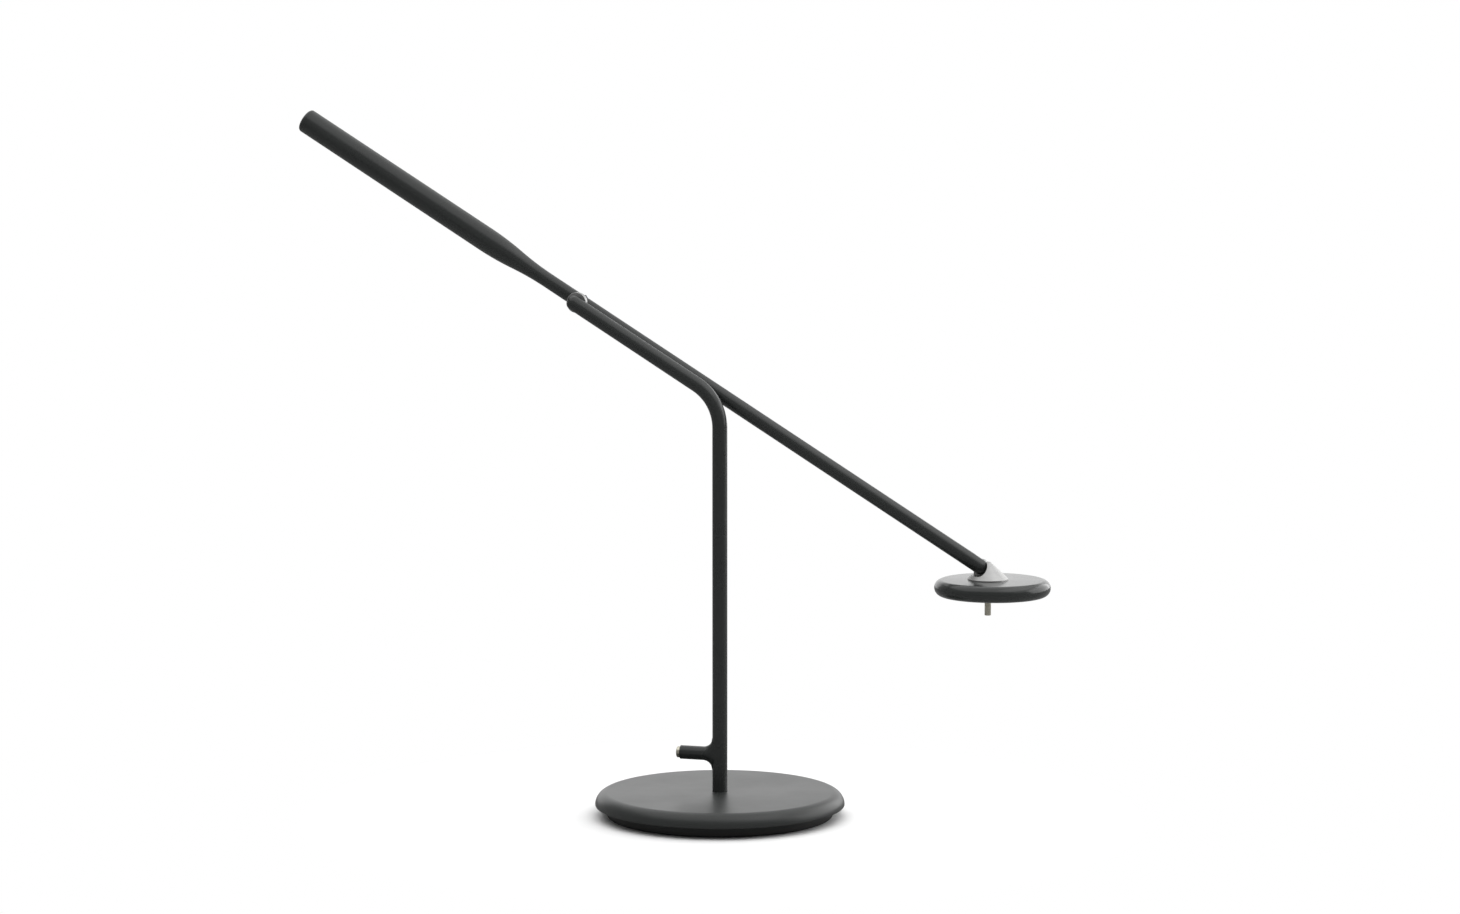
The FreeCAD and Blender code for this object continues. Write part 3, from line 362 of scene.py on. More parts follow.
def mix_colors(tree: Tree, mask: Socket, first: Socket | Sequence[float],
               second: Socket | Sequence[float]) -> Socket:
    """Mixes two colours by a mask; each is a fixed colour or another node's output."""
    start, end = (color if isinstance(color, Socket) else (*color, 1.0) for color in (first, second))
    return add(tree, "Mix", {"Factor": mask, "A": start, "B": end}, data_type="RGBA")["Result"]


def effect_group(name: str, inputs: dict[str, float], outputs: Sequence[str],
                 build: Callable[[Tree, Outputs], dict[str, Socket]]) -> Tree:
    """Makes a node group with named inputs and outputs.

    Args:
        name: name of the group.
        inputs: names and defaults of the float inputs.
        outputs: names of the outputs, which are floats apart from "Normal".
        build: fills the group in, given its tree and its inputs, and returns what each output takes.
    """
    tree = bpy.data.node_groups.new(name, "ShaderNodeTree")
    for label, default in inputs.items():
        socket = tree.interface.new_socket(label, in_out="INPUT", socket_type="NodeSocketFloat")
        socket.default_value = default
    for label in outputs:
        kind = "NodeSocketVector" if label == "Normal" else "NodeSocketFloat"
        tree.interface.new_socket(label, in_out="OUTPUT", socket_type=kind)
    start = tree.nodes.new("NodeGroupInput")
    fill(tree.nodes.new("NodeGroupOutput"), build(tree, start.outputs))
    return tree


def build_coat_grain(tree: Tree, given: Outputs) -> dict[str, Socket]:
    """Powder coat: pebbles of about half a millimetre over an orange peel of a few millimetres."""
    fine = object_noise(tree, 2300, 2.0)
    peel = relief(tree, object_noise(tree, 260, 1.5), given["Peel"], 0.12 * MM)
    return {
        "Normal": relief(tree, fine, given["Grain"], 0.03 * MM, peel),
        "Cloud": remap(tree, object_noise(tree, 14, 4.0, 0.6), 0.3, 0.7),
        "Pebble": remap(tree, fine, 0.35, 0.65),
    }


def build_turned_lines(tree: Tree, given: Outputs) -> dict[str, Socket]:
    """Tool marks of a lathe: noise drawn out round the axis, in the piece's own UV map in metres."""
    own = add(tree, "UVMap", uv_map="surface")["UV"]
    stretched = add(tree, "Mapping", {"Vector": own, "Scale": (12.0, 5200.0, 1.0)})["Vector"]
    lines = add(tree, "TexNoise", {"Vector": stretched, "Scale": 1.0, "Detail": 3.0})["Fac"]
    return {
        "Normal": relief(tree, lines, given["Depth"], 0.02 * MM),
        "Lines": remap(tree, lines, 0.3, 0.7),
        "Stain": remap(tree, object_noise(tree, 120, 4.0, 0.62), 0.45, 0.75),
    }


def build_dust(tree: Tree, given: Outputs) -> dict[str, Socket]:
    """Dust film: a mask that grows with the upward turn of the surface and is broken up by noise."""
    normal = add(tree, "NewGeometry")["Normal"]
    upward = remap(tree, add(tree, "SeparateXYZ", {"Vector": normal})["Z"], 0.35, 0.98)
    broken = remap(tree, object_noise(tree, 900, 5.0, 0.7), 0.46, 0.72, 0.1)
    return {"Mask": multiply(tree, multiply(tree, upward, broken), given["Amount"])}


@dataclass
class Effects:
    """The node groups that the finishes share."""

    coat_grain: Tree = field(default_factory=lambda: effect_group(
        "coat_grain", {"Grain": 0.5, "Peel": 0.3}, ("Normal", "Cloud", "Pebble"), build_coat_grain))
    turned_lines: Tree = field(default_factory=lambda: effect_group(
        "turned_lines", {"Depth": 0.5}, ("Normal", "Lines", "Stain"), build_turned_lines))
    dust: Tree = field(default_factory=lambda: effect_group(
        "dust_film", {"Amount": 0.1}, ("Mask",), build_dust))


# ---------------------------------------------------------------- finishes


def new_material(name: str) -> tuple[Material, Tree, Node]:
    """Returns a fresh material, its node tree and its Principled shader."""
    material = bpy.data.materials.new(name)
    material.use_nodes = True
    tree = material.node_tree
    return material, tree, next(node for node in tree.nodes if node.type == "BSDF_PRINCIPLED")


def use_group(tree: Tree, group: Tree, **values: float) -> Outputs:
    """Adds a shared effect to a material, sets its inputs and returns its outputs."""
    return add(tree, "Group", values, node_tree=group)


@dataclass(frozen=True)
class CoatFinish:
    """Satin powder coat on metal.

    Attributes:
        name: name of the material.
        roughness: lowest and highest roughness.
        color: colour of the coat.
        lighter: how much lighter the pebbles are.
        grain: strength of the fine pebbles.
        peel: strength of the orange peel.
        dust: strength of the dust film on upward faces.
        dust_color: colour of the dust.
        specular: specular level of the coat.
    """

    name: str
    roughness: tuple[float, float]
    color: tuple[float, float, float] = (0.0160, 0.0178, 0.0172)
    lighter: float = 1.18
    grain: float = 0.12
    peel: float = 0.06
    dust: float = 0.05
    dust_color: tuple[float, float, float] = (0.32, 0.32, 0.31)
    specular: float = 0.5

    def material(self, effects: Effects) -> Material:
        """Builds the material."""
        material, tree, shader = new_material(self.name)
        grain = use_group(tree, effects.coat_grain, Grain=self.grain, Peel=self.peel)
        dust = use_group(tree, effects.dust, Amount=self.dust)
        pebbles = tuple(channel * self.lighter for channel in self.color)
        coat = mix_colors(tree, grain["Pebble"], self.color, pebbles)
        fill(shader, {
            "Base Color": mix_colors(tree, dust["Mask"], coat, self.dust_color),
            "Roughness": remap(tree, grain["Cloud"], 0.0, 1.0, *self.roughness),
            "Normal": grain["Normal"],
        })
        shader.inputs["Specular IOR Level"].default_value = self.specular
        return material


@dataclass(frozen=True)
class TurnedMetalFinish:
    """Bare metal with the fine marks of a lathe.

    Attributes:
        name: name of the material.
        color: colour of the clean metal.
        stained: colour where it is slightly stained.
        roughness: lowest and highest roughness.
        depth: strength of the tool marks.
        anisotropic: how far the highlight is drawn out across the marks.
    """

    name: str
    color: tuple[float, float, float]
    stained: tuple[float, float, float]
    roughness: tuple[float, float] = (0.22, 0.36)
    depth: float = 0.4
    anisotropic: float = 0.4

    def material(self, effects: Effects) -> Material:
        """Builds the material."""
        material, tree, shader = new_material(self.name)
        marks = use_group(tree, effects.turned_lines, Depth=self.depth)
        fill(shader, {
            "Base Color": mix_colors(tree, marks["Stain"], self.color, self.stained),
            "Roughness": remap(tree, marks["Lines"], 0.0, 1.0, *self.roughness),
            "Normal": marks["Normal"],
        })
        shader.inputs["Metallic"].default_value = 1.0
        shader.inputs["Anisotropic"].default_value = self.anisotropic
        return material


@dataclass(frozen=True)
class GrainedFinish:
    """Any other matt solid: rubber, moulded plastic, casting, plated steel or solder mask.

    Attributes:
        name: name of the material.
        color: main colour.
        second: colour of the patches.
        roughness: lowest and highest roughness.
        scale: cells per metre of the grain.
        bump: strength of the grain in metres.
        patch: width of the patches, in cells of the grain.
        metallic: 1 for bare metal.
        subsurface: share of light that goes through the skin, for opal plastic.
    """

    name: str
    color: tuple[float, float, float]
    second: tuple[float, float, float]
    roughness: tuple[float, float] = (0.45, 0.6)
    scale: float = 1500.0
    bump: float = 0.00003
    patch: float = 25.0
    metallic: float = 0.0
    subsurface: float = 0.0

    def material(self, effects: Effects) -> Material:
        """Builds the material, which needs none of the shared effects."""
        material, tree, shader = new_material(self.name)
        grain = object_noise(tree, self.scale, 3.0)
        patches = remap(tree, object_noise(tree, self.scale / self.patch, 4.0, 0.6), 0.35, 0.65)
        fill(shader, {
            "Base Color": mix_colors(tree, patches, self.color, self.second),
            "Roughness": remap(tree, grain, 0.3, 0.7, *self.roughness),
            "Normal": relief(tree, grain, 0.5, self.bump),
        })
        shader.inputs["Metallic"].default_value = self.metallic
        shader.inputs["Subsurface Weight"].default_value = self.subsurface
        shader.inputs["Subsurface Radius"].default_value = OPAL_DEPTH
        return material


class Finish(Enum):
    """The finishes of the lamp, by the look that they describe."""

    BASE_COAT = CoatFinish("base_coat", roughness=(0.35, 0.41))
    TUBE_COAT = CoatFinish("tube_coat", roughness=(0.24, 0.31), dust=0.03)
    HEAD_COAT = CoatFinish("head_coat", roughness=(0.17, 0.22), dust=0.03)
    # darker copy of the black coat with a lower specular level: painted shade for the foot pan, recessed
    # under the cover's overhang
    SHADED_FOOT_COAT = CoatFinish("foot_coat_painted_shade", (0.40, 0.48), (0.0125, 0.0134, 0.0130), specular=0.35)
    SATIN_STEEL = TurnedMetalFinish("satin_steel", (0.42, 0.42, 0.417), (0.38, 0.379, 0.373), (0.40, 0.50))
    BRASS = TurnedMetalFinish("satin_brass", (0.66, 0.64, 0.54), (0.58, 0.55, 0.45))
    PLATED = GrainedFinish("plated_steel", (0.52, 0.53, 0.55), (0.44, 0.45, 0.46), (0.3, 0.42), metallic=1.0)
    BRONZE = GrainedFinish("bearing_bronze", (0.50, 0.36, 0.19), (0.42, 0.29, 0.14), (0.32, 0.45),
                           metallic=1.0)
    CAST = GrainedFinish("cast_iron", (0.055, 0.055, 0.058), (0.035, 0.033, 0.033), (0.6, 0.8), 700.0,
                         0.00015)
    RUBBER = GrainedFinish("foot_rubber", (0.016, 0.016, 0.016), (0.023, 0.022, 0.021), (0.7, 0.85))
    PLASTIC = GrainedFinish("black_plastic", (0.018, 0.018, 0.019), (0.024, 0.024, 0.025), (0.42, 0.55))
    OPAL = GrainedFinish("opal_plastic", (0.82, 0.82, 0.80), (0.78, 0.78, 0.76), (0.38, 0.48), 2600.0,
                         0.00001, subsurface=0.6)
    MASK = GrainedFinish("solder_mask", (0.74, 0.75, 0.74), (0.68, 0.69, 0.68), (0.35, 0.5))
    PHOSPHOR = GrainedFinish("phosphor", (0.75, 0.55, 0.09), (0.68, 0.47, 0.06), (0.45, 0.6))
    INSULATION = GrainedFinish("lead_insulation", (0.021, 0.021, 0.022), (0.028, 0.027, 0.027), (0.5, 0.62))


class Palette:
    """Builds each finish once and hands out its material."""

    def __init__(self) -> None:
        self.effects = Effects()
        self.made: dict[str, Material] = {}

    def get(self, finish: Finish) -> Material:
        """Returns the material of a finish."""
        if finish.name not in self.made:
            self.made[finish.name] = finish.value.material(self.effects)
        return self.made[finish.name]


# ---------------------------------------------------------------- what every sub-assembly shares


@dataclass
class Assembly:
    """A group of pieces on the lamp's CAD bodies.

    Attributes:
        palette: source of the materials.
        body: name of the CAD body that the pieces ride.
    """

    palette: Palette
    body: str = ""

    def piece(self, obj: Object, finish: Finish, slot: str, *nodes: str) -> None:
        """Finishes a piece, seats it on the body and lets it stand for its CAD nodes.

        Args:
            obj: the piece, in place.
            finish: its finish.
            slot: name of a material slot; not used.
            nodes: CAD nodes that it stands for.
        """
        obj.data.materials.clear()
        obj.data.materials.append(self.palette.get(finish))
        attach(obj, self.body)
        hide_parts(*nodes)
        LOG.info("%-18s rides %-7s %6d faces", obj.name, self.body, len(obj.data.polygons))

    def keep(self, finish: Finish, *nodes: str) -> None:
        """Gives CAD nodes that stay as they are their finish."""
        for node in nodes:
            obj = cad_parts[node]
            obj.data.materials.clear()
            obj.data.materials.append(self.palette.get(finish))
            LOG.info("%-18s stays as the CAD made it", node)


@dataclass
class Linkage:
    """The places that the pieces share.

    The arm's axis falls from the pivot towards the head by the slope, and the bent run of the post lies
    parallel to it in the post's own plane.

    Attributes:
        tube_radius: outer radius of the post and of the arm's thin stretch.
        slope: fall of the arm.
        bend_height: height at which the two runs of the post would meet without the bend.
        bend_radius: radius of the post's centre line in the bend.
        pivot_reach: distance of the pivot behind the post's axis.
        arm_side: distance between the planes of the post and the arm.
        arm_front: distance from the pivot to the head joint.
        plug_seat: distance from the pivot or the head joint to the end of the tube.
        plug_insert: length of an end plug inside its tube.
        spot_depth: depth of the flats milled on the tubes at the pivot.
        spot_radius: radius of those flats.
        neck_rise: height of the head joint above the head.
    """

    tube_radius: float = 6 * MM
    slope: float = math.radians(31.3)
    bend_height: float = 335 * MM
    bend_radius: float = 40 * MM
    pivot_reach: float = 122.2 * MM
    arm_side: float = 16 * MM
    arm_front: float = 388.3 * MM
    plug_seat: float = 9.5 * MM
    plug_insert: float = 15 * MM
    spot_depth: float = 0.5 * MM
    spot_radius: float = 8.5 * MM
    neck_rise: float = 9.7 * MM

    @property
    def pivot(self) -> Vector:
        """The pivot's place in the post's plane."""
        return Vector((-self.pivot_reach, 0, self.bend_height + self.pivot_reach * math.tan(self.slope)))

    @property
    def down_slope(self) -> Vector:
        """Unit vector from the pivot towards the head."""
        return Vector((math.cos(self.slope), 0, -math.sin(self.slope)))

    @property
    def joint(self) -> Vector:
        """The head joint's place, on the arm's axis."""
        return self.pivot + self.down_slope * self.arm_front + Vector((0, self.arm_side, 0))

    def slope_frame(self, origin: Vector) -> Matrix:
        """Frame whose X runs down the slope and whose Y is the lamp's Y."""
        return Matrix.Translation(origin) @ Matrix.Rotation(self.slope, 4, "Y")

    def arm_lathe(self, origin: Vector) -> Matrix:
        """Frame whose Z runs down the slope, for pieces turned about the arm's axis."""
        return self.slope_frame(origin) @ Matrix.Rotation(math.pi / 2, 4, "Y")


# ---------------------------------------------------------------- base


@dataclass
class Base(Assembly):
    """Cover, foot pan, pad, ballast, screws and inlet.

    Attributes:
        radius: outer radius of the cover.
        seam: height of the cover's lower edge.
        top: height of the cover's top.
        rim: radius of the quarter-round upper rim.
        lower_edge: radius of the cover's lower edge.
        wall: thickness of the cover's top.
        cavity: inner radius of the cover.
        foot_radius: outer radius of the foot pan.
        foot_low: height of the pan's underside.
        foot_wall: thickness of the pan.
        pad: inner and outer radius of the pad ring.
        screw_circle: radius of the screw circle.
        screw: radius of a screw's shank and of its countersunk head.
        screw_angles: places of the screws, in degrees from +X.
        inlet: inner and outer radius of the lead inlet.
        inlet_start: distance of the inlet's inner end from the lamp's axis.
        inlet_length: length of the inlet.
        inlet_height: height of the inlet's axis.
        post_hole: radius of the cover's hole for the post.
    """

    body: str = "base"
    radius: float = 100 * MM
    seam: float = 9 * MM
    top: float = 20 * MM
    rim: float = 10 * MM
    lower_edge: float = 0.9 * MM
    wall: float = 3 * MM
    cavity: float = 86.3 * MM
    foot_radius: float = 90.5 * MM
    foot_low: float = 0.8 * MM
    foot_wall: float = 2 * MM
    pad: tuple[float, float] = (74.5 * MM, 86.5 * MM)
    screw_circle: float = 60 * MM
    screw: tuple[float, float] = (2 * MM, 4 * MM)
    screw_angles: tuple[float, ...] = (30.0, 150.0, 270.0)
    inlet: tuple[float, float] = (1.8 * MM, 2.5 * MM)
    inlet_start: float = 87.5 * MM
    inlet_length: float = 5.5 * MM
    inlet_height: float = 5.35 * MM
    post_hole: float = 6.1 * MM

    def build(self) -> None:
        """Makes the base."""
        ceiling = self.top - self.wall
        cover = rounded_profile([
            Corner(self.post_hole, ceiling, 0.2 * MM),
            Corner(self.cavity, ceiling, 0.4 * MM),
            Corner(self.cavity, self.seam, 0.15 * MM),
            Corner(self.radius, self.seam, self.lower_edge),
            Corner(self.radius, self.top, self.rim * FULL_ARC),
            Corner(self.post_hole, self.top, 0.25 * MM),
        ], closed=True, step=4)
        self.piece(lathe("base_cover_look", cover, Matrix.Identity(4), 256, hollow=True),
                   Finish.BASE_COAT, "black_coat", "base_cover")
        floor = self.foot_low + self.foot_wall
        inner = self.foot_radius - self.foot_wall
        pan = rounded_profile([
            Corner(0, self.foot_low),
            Corner(self.foot_radius, self.foot_low, 1.0 * MM),
            Corner(self.foot_radius, self.seam, 0.2 * MM),
            Corner(inner, self.seam, 0.2 * MM),
            Corner(inner, floor, 0.8 * MM),
            Corner(0, floor),
        ], step=8)
        foot = lathe("base_foot_look", pan, Matrix.Identity(4), 192)
        hole = Axis.FAR.matrix(Vector((0, inner - 2 * MM, self.inlet_height)))
        cutters = [rod(self.inlet[1], 6 * MM, hole)]
        shank, screw_head = self.screw
        sink = np.array([[screw_head + 0.3 * MM, -0.3 * MM], [screw_head, 0], [shank, self.foot_wall],
                         [shank, self.foot_wall + 1 * MM]])
        for angle in self.screw_angles:
            turn = Matrix.Rotation(math.radians(angle), 4, "Z")
            place = turn @ Vector((self.screw_circle, 0, self.foot_low))
            cutters.append(lathe("sink", sink, Matrix.Translation(place), 48))
        # the foot pan takes the darker coat, painted shade under the cover's overhang
        self.piece(carve(foot, cutters), Finish.SHADED_FOOT_COAT, "black_coat", "base_foot")
        pad = ring_profile(*self.pad, self.foot_low, (0.25, 0.25, 0.05, 0.05))
        self.piece(lathe("foot_pad_look", pad, Matrix.Identity(4), 192, hollow=True),
                   Finish.RUBBER, "foot_rubber", "foot_pad")
        bush = ring_profile(*self.inlet, self.inlet_length, (0.1, 0.1, 0.4, 0.2))
        place = Vector((0, self.inlet_start, self.inlet_height))
        self.piece(lathe("lead_inlet_look", bush, Axis.FAR.matrix(place), 48, hollow=True),
                   Finish.PLASTIC, "black_plastic", "lead_inlet")
        self.keep(Finish.CAST, "base_ballast")
        self.keep(Finish.PLATED, "base_screws")
        self.keep(Finish.BRONZE, "swivel_bush")
        self.keep(Finish.INSULATION, "base_lead")


# ---------------------------------------------------------------- post


@dataclass
class Post(Assembly):
    """Bent tube with its branch, domed end, pivot and dimmer module.

    Attributes:
        linkage: shared places.
        foot: height of the tube's lower end.
        bore: inner radius of the tube.
        branch_height: height of the branch's axis.
        branch_radius: outer radius of the branch.
        branch_reach: distance of the branch's end from the post's axis.
        branch_fillet: radius of the fillets above and below the branch.
        branch_bore: radius of the hole between the button's hole and the post.
        branch_bore_end: distance of that hole's inner end from the branch's end.
        button_bore: radius of the hole for the button.
        mouth: depth of that hole.
        mouth_bevel: width of the bevel round it.
        lead_bore: radius of the hole for the lead in the end plug.
        disc_radius: radius of the pivot disc.
        disc_height: thickness of the pivot disc.
        bolt_radius: radius of the pivot bolt.
    """

    linkage: Linkage = field(default_factory=Linkage)
    body: str = "post"
    foot: float = 15.3 * MM
    bore: float = 4.5 * MM
    branch_height: float = 50 * MM
    branch_radius: float = 5.5 * MM
    branch_reach: float = 32.7 * MM
    branch_fillet: float = 8 * MM
    branch_bore: float = 3.8 * MM
    branch_bore_end: float = 18 * MM
    button_bore: float = 4.6 * MM
    mouth: float = 7.2 * MM
    mouth_bevel: float = 0.45 * MM
    lead_bore: float = 1.3 * MM
    disc_radius: float = 8.2 * MM
    disc_height: float = 4.4 * MM
    bolt_radius: float = 3 * MM

    def centre_line(self) -> np.ndarray:
        """Rows (x, z, tangent x, tangent z) along the tube's centre line."""
        link = self.linkage
        turn = math.pi / 2 - link.slope
        run = link.bend_radius * math.tan(turn / 2)
        rows = [(0.0, self.foot, 0.0, 1.0)]
        for k in range(33):
            angle = turn * k / 32
            rows.append((-link.bend_radius * (1 - math.cos(angle)),
                         link.bend_height - run + link.bend_radius * math.sin(angle),
                         -math.sin(angle), math.cos(angle)))
        end = link.pivot + link.down_slope * link.plug_seat
        rows.append((end.x, end.z, -math.cos(link.slope), math.sin(link.slope)))
        return np.array(rows)

    def tube_rings(self, radius: float, segments: int = 72) -> np.ndarray:
        """Rings of the tube: centre + radius (side cos a + Y sin a), with side in the bend's plane."""
        angles = np.linspace(0, 2 * math.pi, segments, endpoint=False)
        rings = []
        for x, z, tangent_x, tangent_z in self.centre_line():
            across = radius * np.cos(angles)
            rings.append(np.stack([x + tangent_z * across, radius * np.sin(angles), z - tangent_x * across],
                                  axis=1))
        return np.array(rings)

    def flare(self) -> Object:
        """The branch and its flared foot, whose sections are ellipses.

        The half width stays b. With t from 0 to a quarter turn, the half height is b + f (1 - cos t) at
        x = -(r + f) + f sin t, moved 0.1 mm into the post.
        """
        fillet, half = self.branch_fillet, self.branch_radius
        angles = np.linspace(0, 2 * math.pi, 72, endpoint=False)
        reach = self.linkage.tube_radius + fillet - 0.1 * MM
        stations = [(-self.branch_reach, half)]
        for turn in np.linspace(0, math.pi / 2, 25):
            stations.append((-reach + fillet * math.sin(turn), half + fillet * (1 - math.cos(turn))))
        stations.append((-1.5 * MM, half + fillet))
        return grid_mesh("flare", np.array([
            np.stack([np.full_like(angles, x), half * np.cos(angles),
                      self.branch_height + tall * np.sin(angles)], axis=1) for x, tall in stations]))

    def build(self) -> None:
        """Makes the post's pieces."""
        link = self.linkage
        tube = grid_mesh("post_tube_look", self.tube_rings(link.tube_radius))
        carve(tube, [self.flare()], union=True)
        start = Vector((-self.branch_reach + self.mouth, 0, self.branch_height))
        outer = self.button_bore + self.mouth_bevel
        mouth = np.array([(self.button_bore, 0), (self.button_bore, self.mouth),
                          (outer, self.mouth + 0.25 * MM), (outer, self.mouth + 1 * MM)])
        inner = Vector((-self.branch_reach + self.branch_bore_end, 0, self.branch_height))
        carve(tube, [
            grid_mesh("bore", self.tube_rings(self.bore, 48)),
            lathe("mouth", mouth, Axis.BACK.matrix(start), 64),
            rod(self.branch_bore, 12 * MM, Axis.BACK.matrix(inner)),
        ])
        self.piece(tube, Finish.TUBE_COAT, "black_coat", "post_tube")
        self.piece(self.end_plug(), Finish.TUBE_COAT, "black_coat", "post_end_plug")
        self.piece(self.pivot_disc(), Finish.SATIN_STEEL, "satin_steel", "pivot_disc")
        self.keep(Finish.PLATED, "post_spigot", "swivel_washer", "swivel_nut", "pivot_bolt", "spring_washer",
                  "pivot_nut")
        self.keep(Finish.PLASTIC, "dimmer_module")
        self.keep(Finish.INSULATION, "post_lead")

    def end_plug(self) -> Object:
        """Domed end with the flat on which the disc sits."""
        link = self.linkage
        radius, seat = link.tube_radius, link.plug_seat
        deep = seat + link.plug_insert
        body = np.vstack([dome(radius, -1),
                          [[radius, seat], [self.bore, seat], [self.bore, deep], [self.lead_bore, deep]]])
        plug = lathe("post_end_look", body, link.arm_lathe(link.pivot), 72)
        flat = radius - link.spot_depth
        spot = Axis.FAR.matrix(link.pivot + Vector((0, flat, 0)))
        bolt = Axis.FAR.matrix(link.pivot + Vector((0, flat - 9 * MM, 0)))
        return carve(plug, [rod(link.spot_radius, radius, spot), rod(self.bolt_radius, 12 * MM, bolt)])

    def pivot_disc(self) -> Object:
        """Turned disc between the post's end and the arm."""
        link = self.linkage
        ring = ring_profile(self.bolt_radius, self.disc_radius, self.disc_height, (0, 0.35, 0.35, 0))
        place = link.pivot + Vector((0, link.tube_radius - link.spot_depth, 0))
        return lathe("pivot_disc_look", ring, Axis.FAR.matrix(place), 96, hollow=True)


@dataclass
class Button(Assembly):
    """Push button on the branch.

    Attributes:
        linkage: shared places.
        radius: radius of the button.
        length: length of the button with the stretch inside the branch.
        stem_radius: radius of the stem that presses the switch.
        stem_length: length of that stem.
        place: where the button's inner end lies at rest.
    """

    linkage: Linkage = field(default_factory=Linkage)
    body: str = "button"
    radius: float = 4.5 * MM
    length: float = 8 * MM
    stem_radius: float = 1.5 * MM
    stem_length: float = 5 * MM
    place: tuple[float, float, float] = (-27.7 * MM, 0.0, 50 * MM)

    def build(self) -> None:
        """Makes the button."""
        profile = rounded_profile([
            Corner(0, -self.stem_length), Corner(self.stem_radius, -self.stem_length, 0.2 * MM),
            Corner(self.stem_radius, 0), Corner(self.radius, 0, 0.2 * MM),
            Corner(self.radius, self.length, 0.6 * MM), Corner(0, self.length),
        ])
        self.piece(lathe("dimmer_button_look", profile, Axis.BACK.matrix(Vector(self.place)), 72),
                   Finish.BRASS, "brass", "dimmer_button")


# ---------------------------------------------------------------- arm


@dataclass
class Arm(Assembly):
    """Arm tube with its taper, counterweight, rear cap and half-lapped front end.

    Attributes:
        linkage: shared places.
        rear: distance from the pivot to the rear end.
        weight_radius: outer radius of the thick stretch.
        taper: distances from the pivot to the two ends of the taper.
        cap_height: length of the rear cap outside the tube.
        cap_insert: length of the rear cap inside the tube.
        wall: wall of the tube.
        lap: length of the half lap at the front end.
        hinge_radius: radius of the hinge screw.
        bolt_bore: radius of the hole for the pivot bolt.
    """

    linkage: Linkage = field(default_factory=Linkage)
    body: str = "arm"
    rear: float = 277.5 * MM
    weight_radius: float = 10 * MM
    taper: tuple[float, float] = (32 * MM, 95 * MM)
    cap_height: float = 3.2 * MM
    cap_insert: float = 4.6 * MM
    wall: float = 1.3 * MM
    lap: float = 9 * MM
    hinge_radius: float = 2 * MM
    bolt_bore: float = 3.05 * MM

    def taper_profile(self) -> np.ndarray:
        """The S-shaped taper: two equal arcs that meet half way.

        With the length L and the rise h, both radii are R = (L^2 + h^2) / (4 h). From the thin end the
        radius grows as R - sqrt(R^2 - s^2), and the second half is the first one turned by half a turn.
        """
        near, far = self.taper
        thin = self.linkage.tube_radius
        length, rise = far - near, self.weight_radius - thin
        curve = (length ** 2 + rise ** 2) / (4 * rise)
        half = np.linspace(0, length / 2, 20)
        growth = curve - np.sqrt(curve ** 2 - half ** 2)
        first = np.stack([thin + growth, -(near + half)], axis=1)
        second = np.stack([self.weight_radius - growth, -(far - half)], axis=1)[::-1]
        return np.vstack([first, second[1:]])

    def build(self) -> None:
        """Makes the arm's pieces."""
        link = self.linkage
        centre = link.pivot + Vector((0, link.arm_side, 0))
        axis = link.arm_lathe(centre)
        front = link.arm_front - link.plug_seat
        back = self.rear - self.cap_height
        wide, narrow = self.weight_radius - self.wall, link.tube_radius - self.wall
        profile = np.vstack([
            [[link.tube_radius, front]], self.taper_profile(),
            [[self.weight_radius, -back], [wide, -back], [wide, -self.taper[1]],
             [narrow, -self.taper[0]], [narrow, front]],
        ])
        tube = lathe("arm_tube_look", profile, axis, 96, hollow=True)
        flat = link.tube_radius - link.spot_depth
        near_spot = Axis.FAR.matrix(centre - Vector((0, flat + 4 * MM, 0)))
        far_spot = Axis.FAR.matrix(centre + Vector((0, flat, 0)))
        through = Axis.FAR.matrix(centre - Vector((0, 12 * MM, 0)))
        carve(tube, [rod(link.spot_radius, 4 * MM, near_spot), rod(link.spot_radius, 4 * MM, far_spot),
                     rod(self.bolt_bore, 24 * MM, through)])
        self.piece(tube, Finish.TUBE_COAT, "arm_coat", "arm_tube")
        cap = rounded_profile([
            Corner(0, self.cap_insert), Corner(wide, self.cap_insert, 0.2 * MM),
            Corner(wide, 0), Corner(self.weight_radius, 0, 0.12 * MM),
            Corner(self.weight_radius, -self.cap_height, 2.4 * MM), Corner(0, -self.cap_height),
        ], step=6)
        end = link.arm_lathe(centre - link.down_slope * back)
        self.piece(lathe("rear_cap_look", cap, end, 96), Finish.TUBE_COAT, "black_coat", "rear_cap")
        self.piece(self.end_plug(), Finish.TUBE_COAT, "arm_coat", "arm_end_plug")
        self.keep(Finish.PLATED, "arm_hub", "counterweight_core", "hinge_screw")
        self.keep(Finish.PLASTIC, "friction_washer", "hinge_washers")
        self.keep(Finish.INSULATION, "arm_lead")

    def end_plug(self) -> Object:
        """Domed arm end, half of it milled away for the lug of the neck."""
        link = self.linkage
        radius, seat = link.tube_radius, -link.plug_seat
        inner = radius - self.wall
        body = np.vstack([dome(radius, 1), [[radius, seat], [inner, seat], [inner, seat - link.plug_insert]]])
        plug = lathe("arm_end_look", body, link.arm_lathe(link.joint), 72)
        lap = brick((-self.lap, 0, -12 * MM), (12 * MM, 12 * MM, 12 * MM), link.slope_frame(link.joint))
        screw = rod(self.hinge_radius, 12 * MM, Axis.FAR.matrix(link.joint - Vector((0, 4.5 * MM, 0))))
        carve(plug, [lap, screw])
        soften(plug, 0.15 * MM)
        return plug


# ---------------------------------------------------------------- head


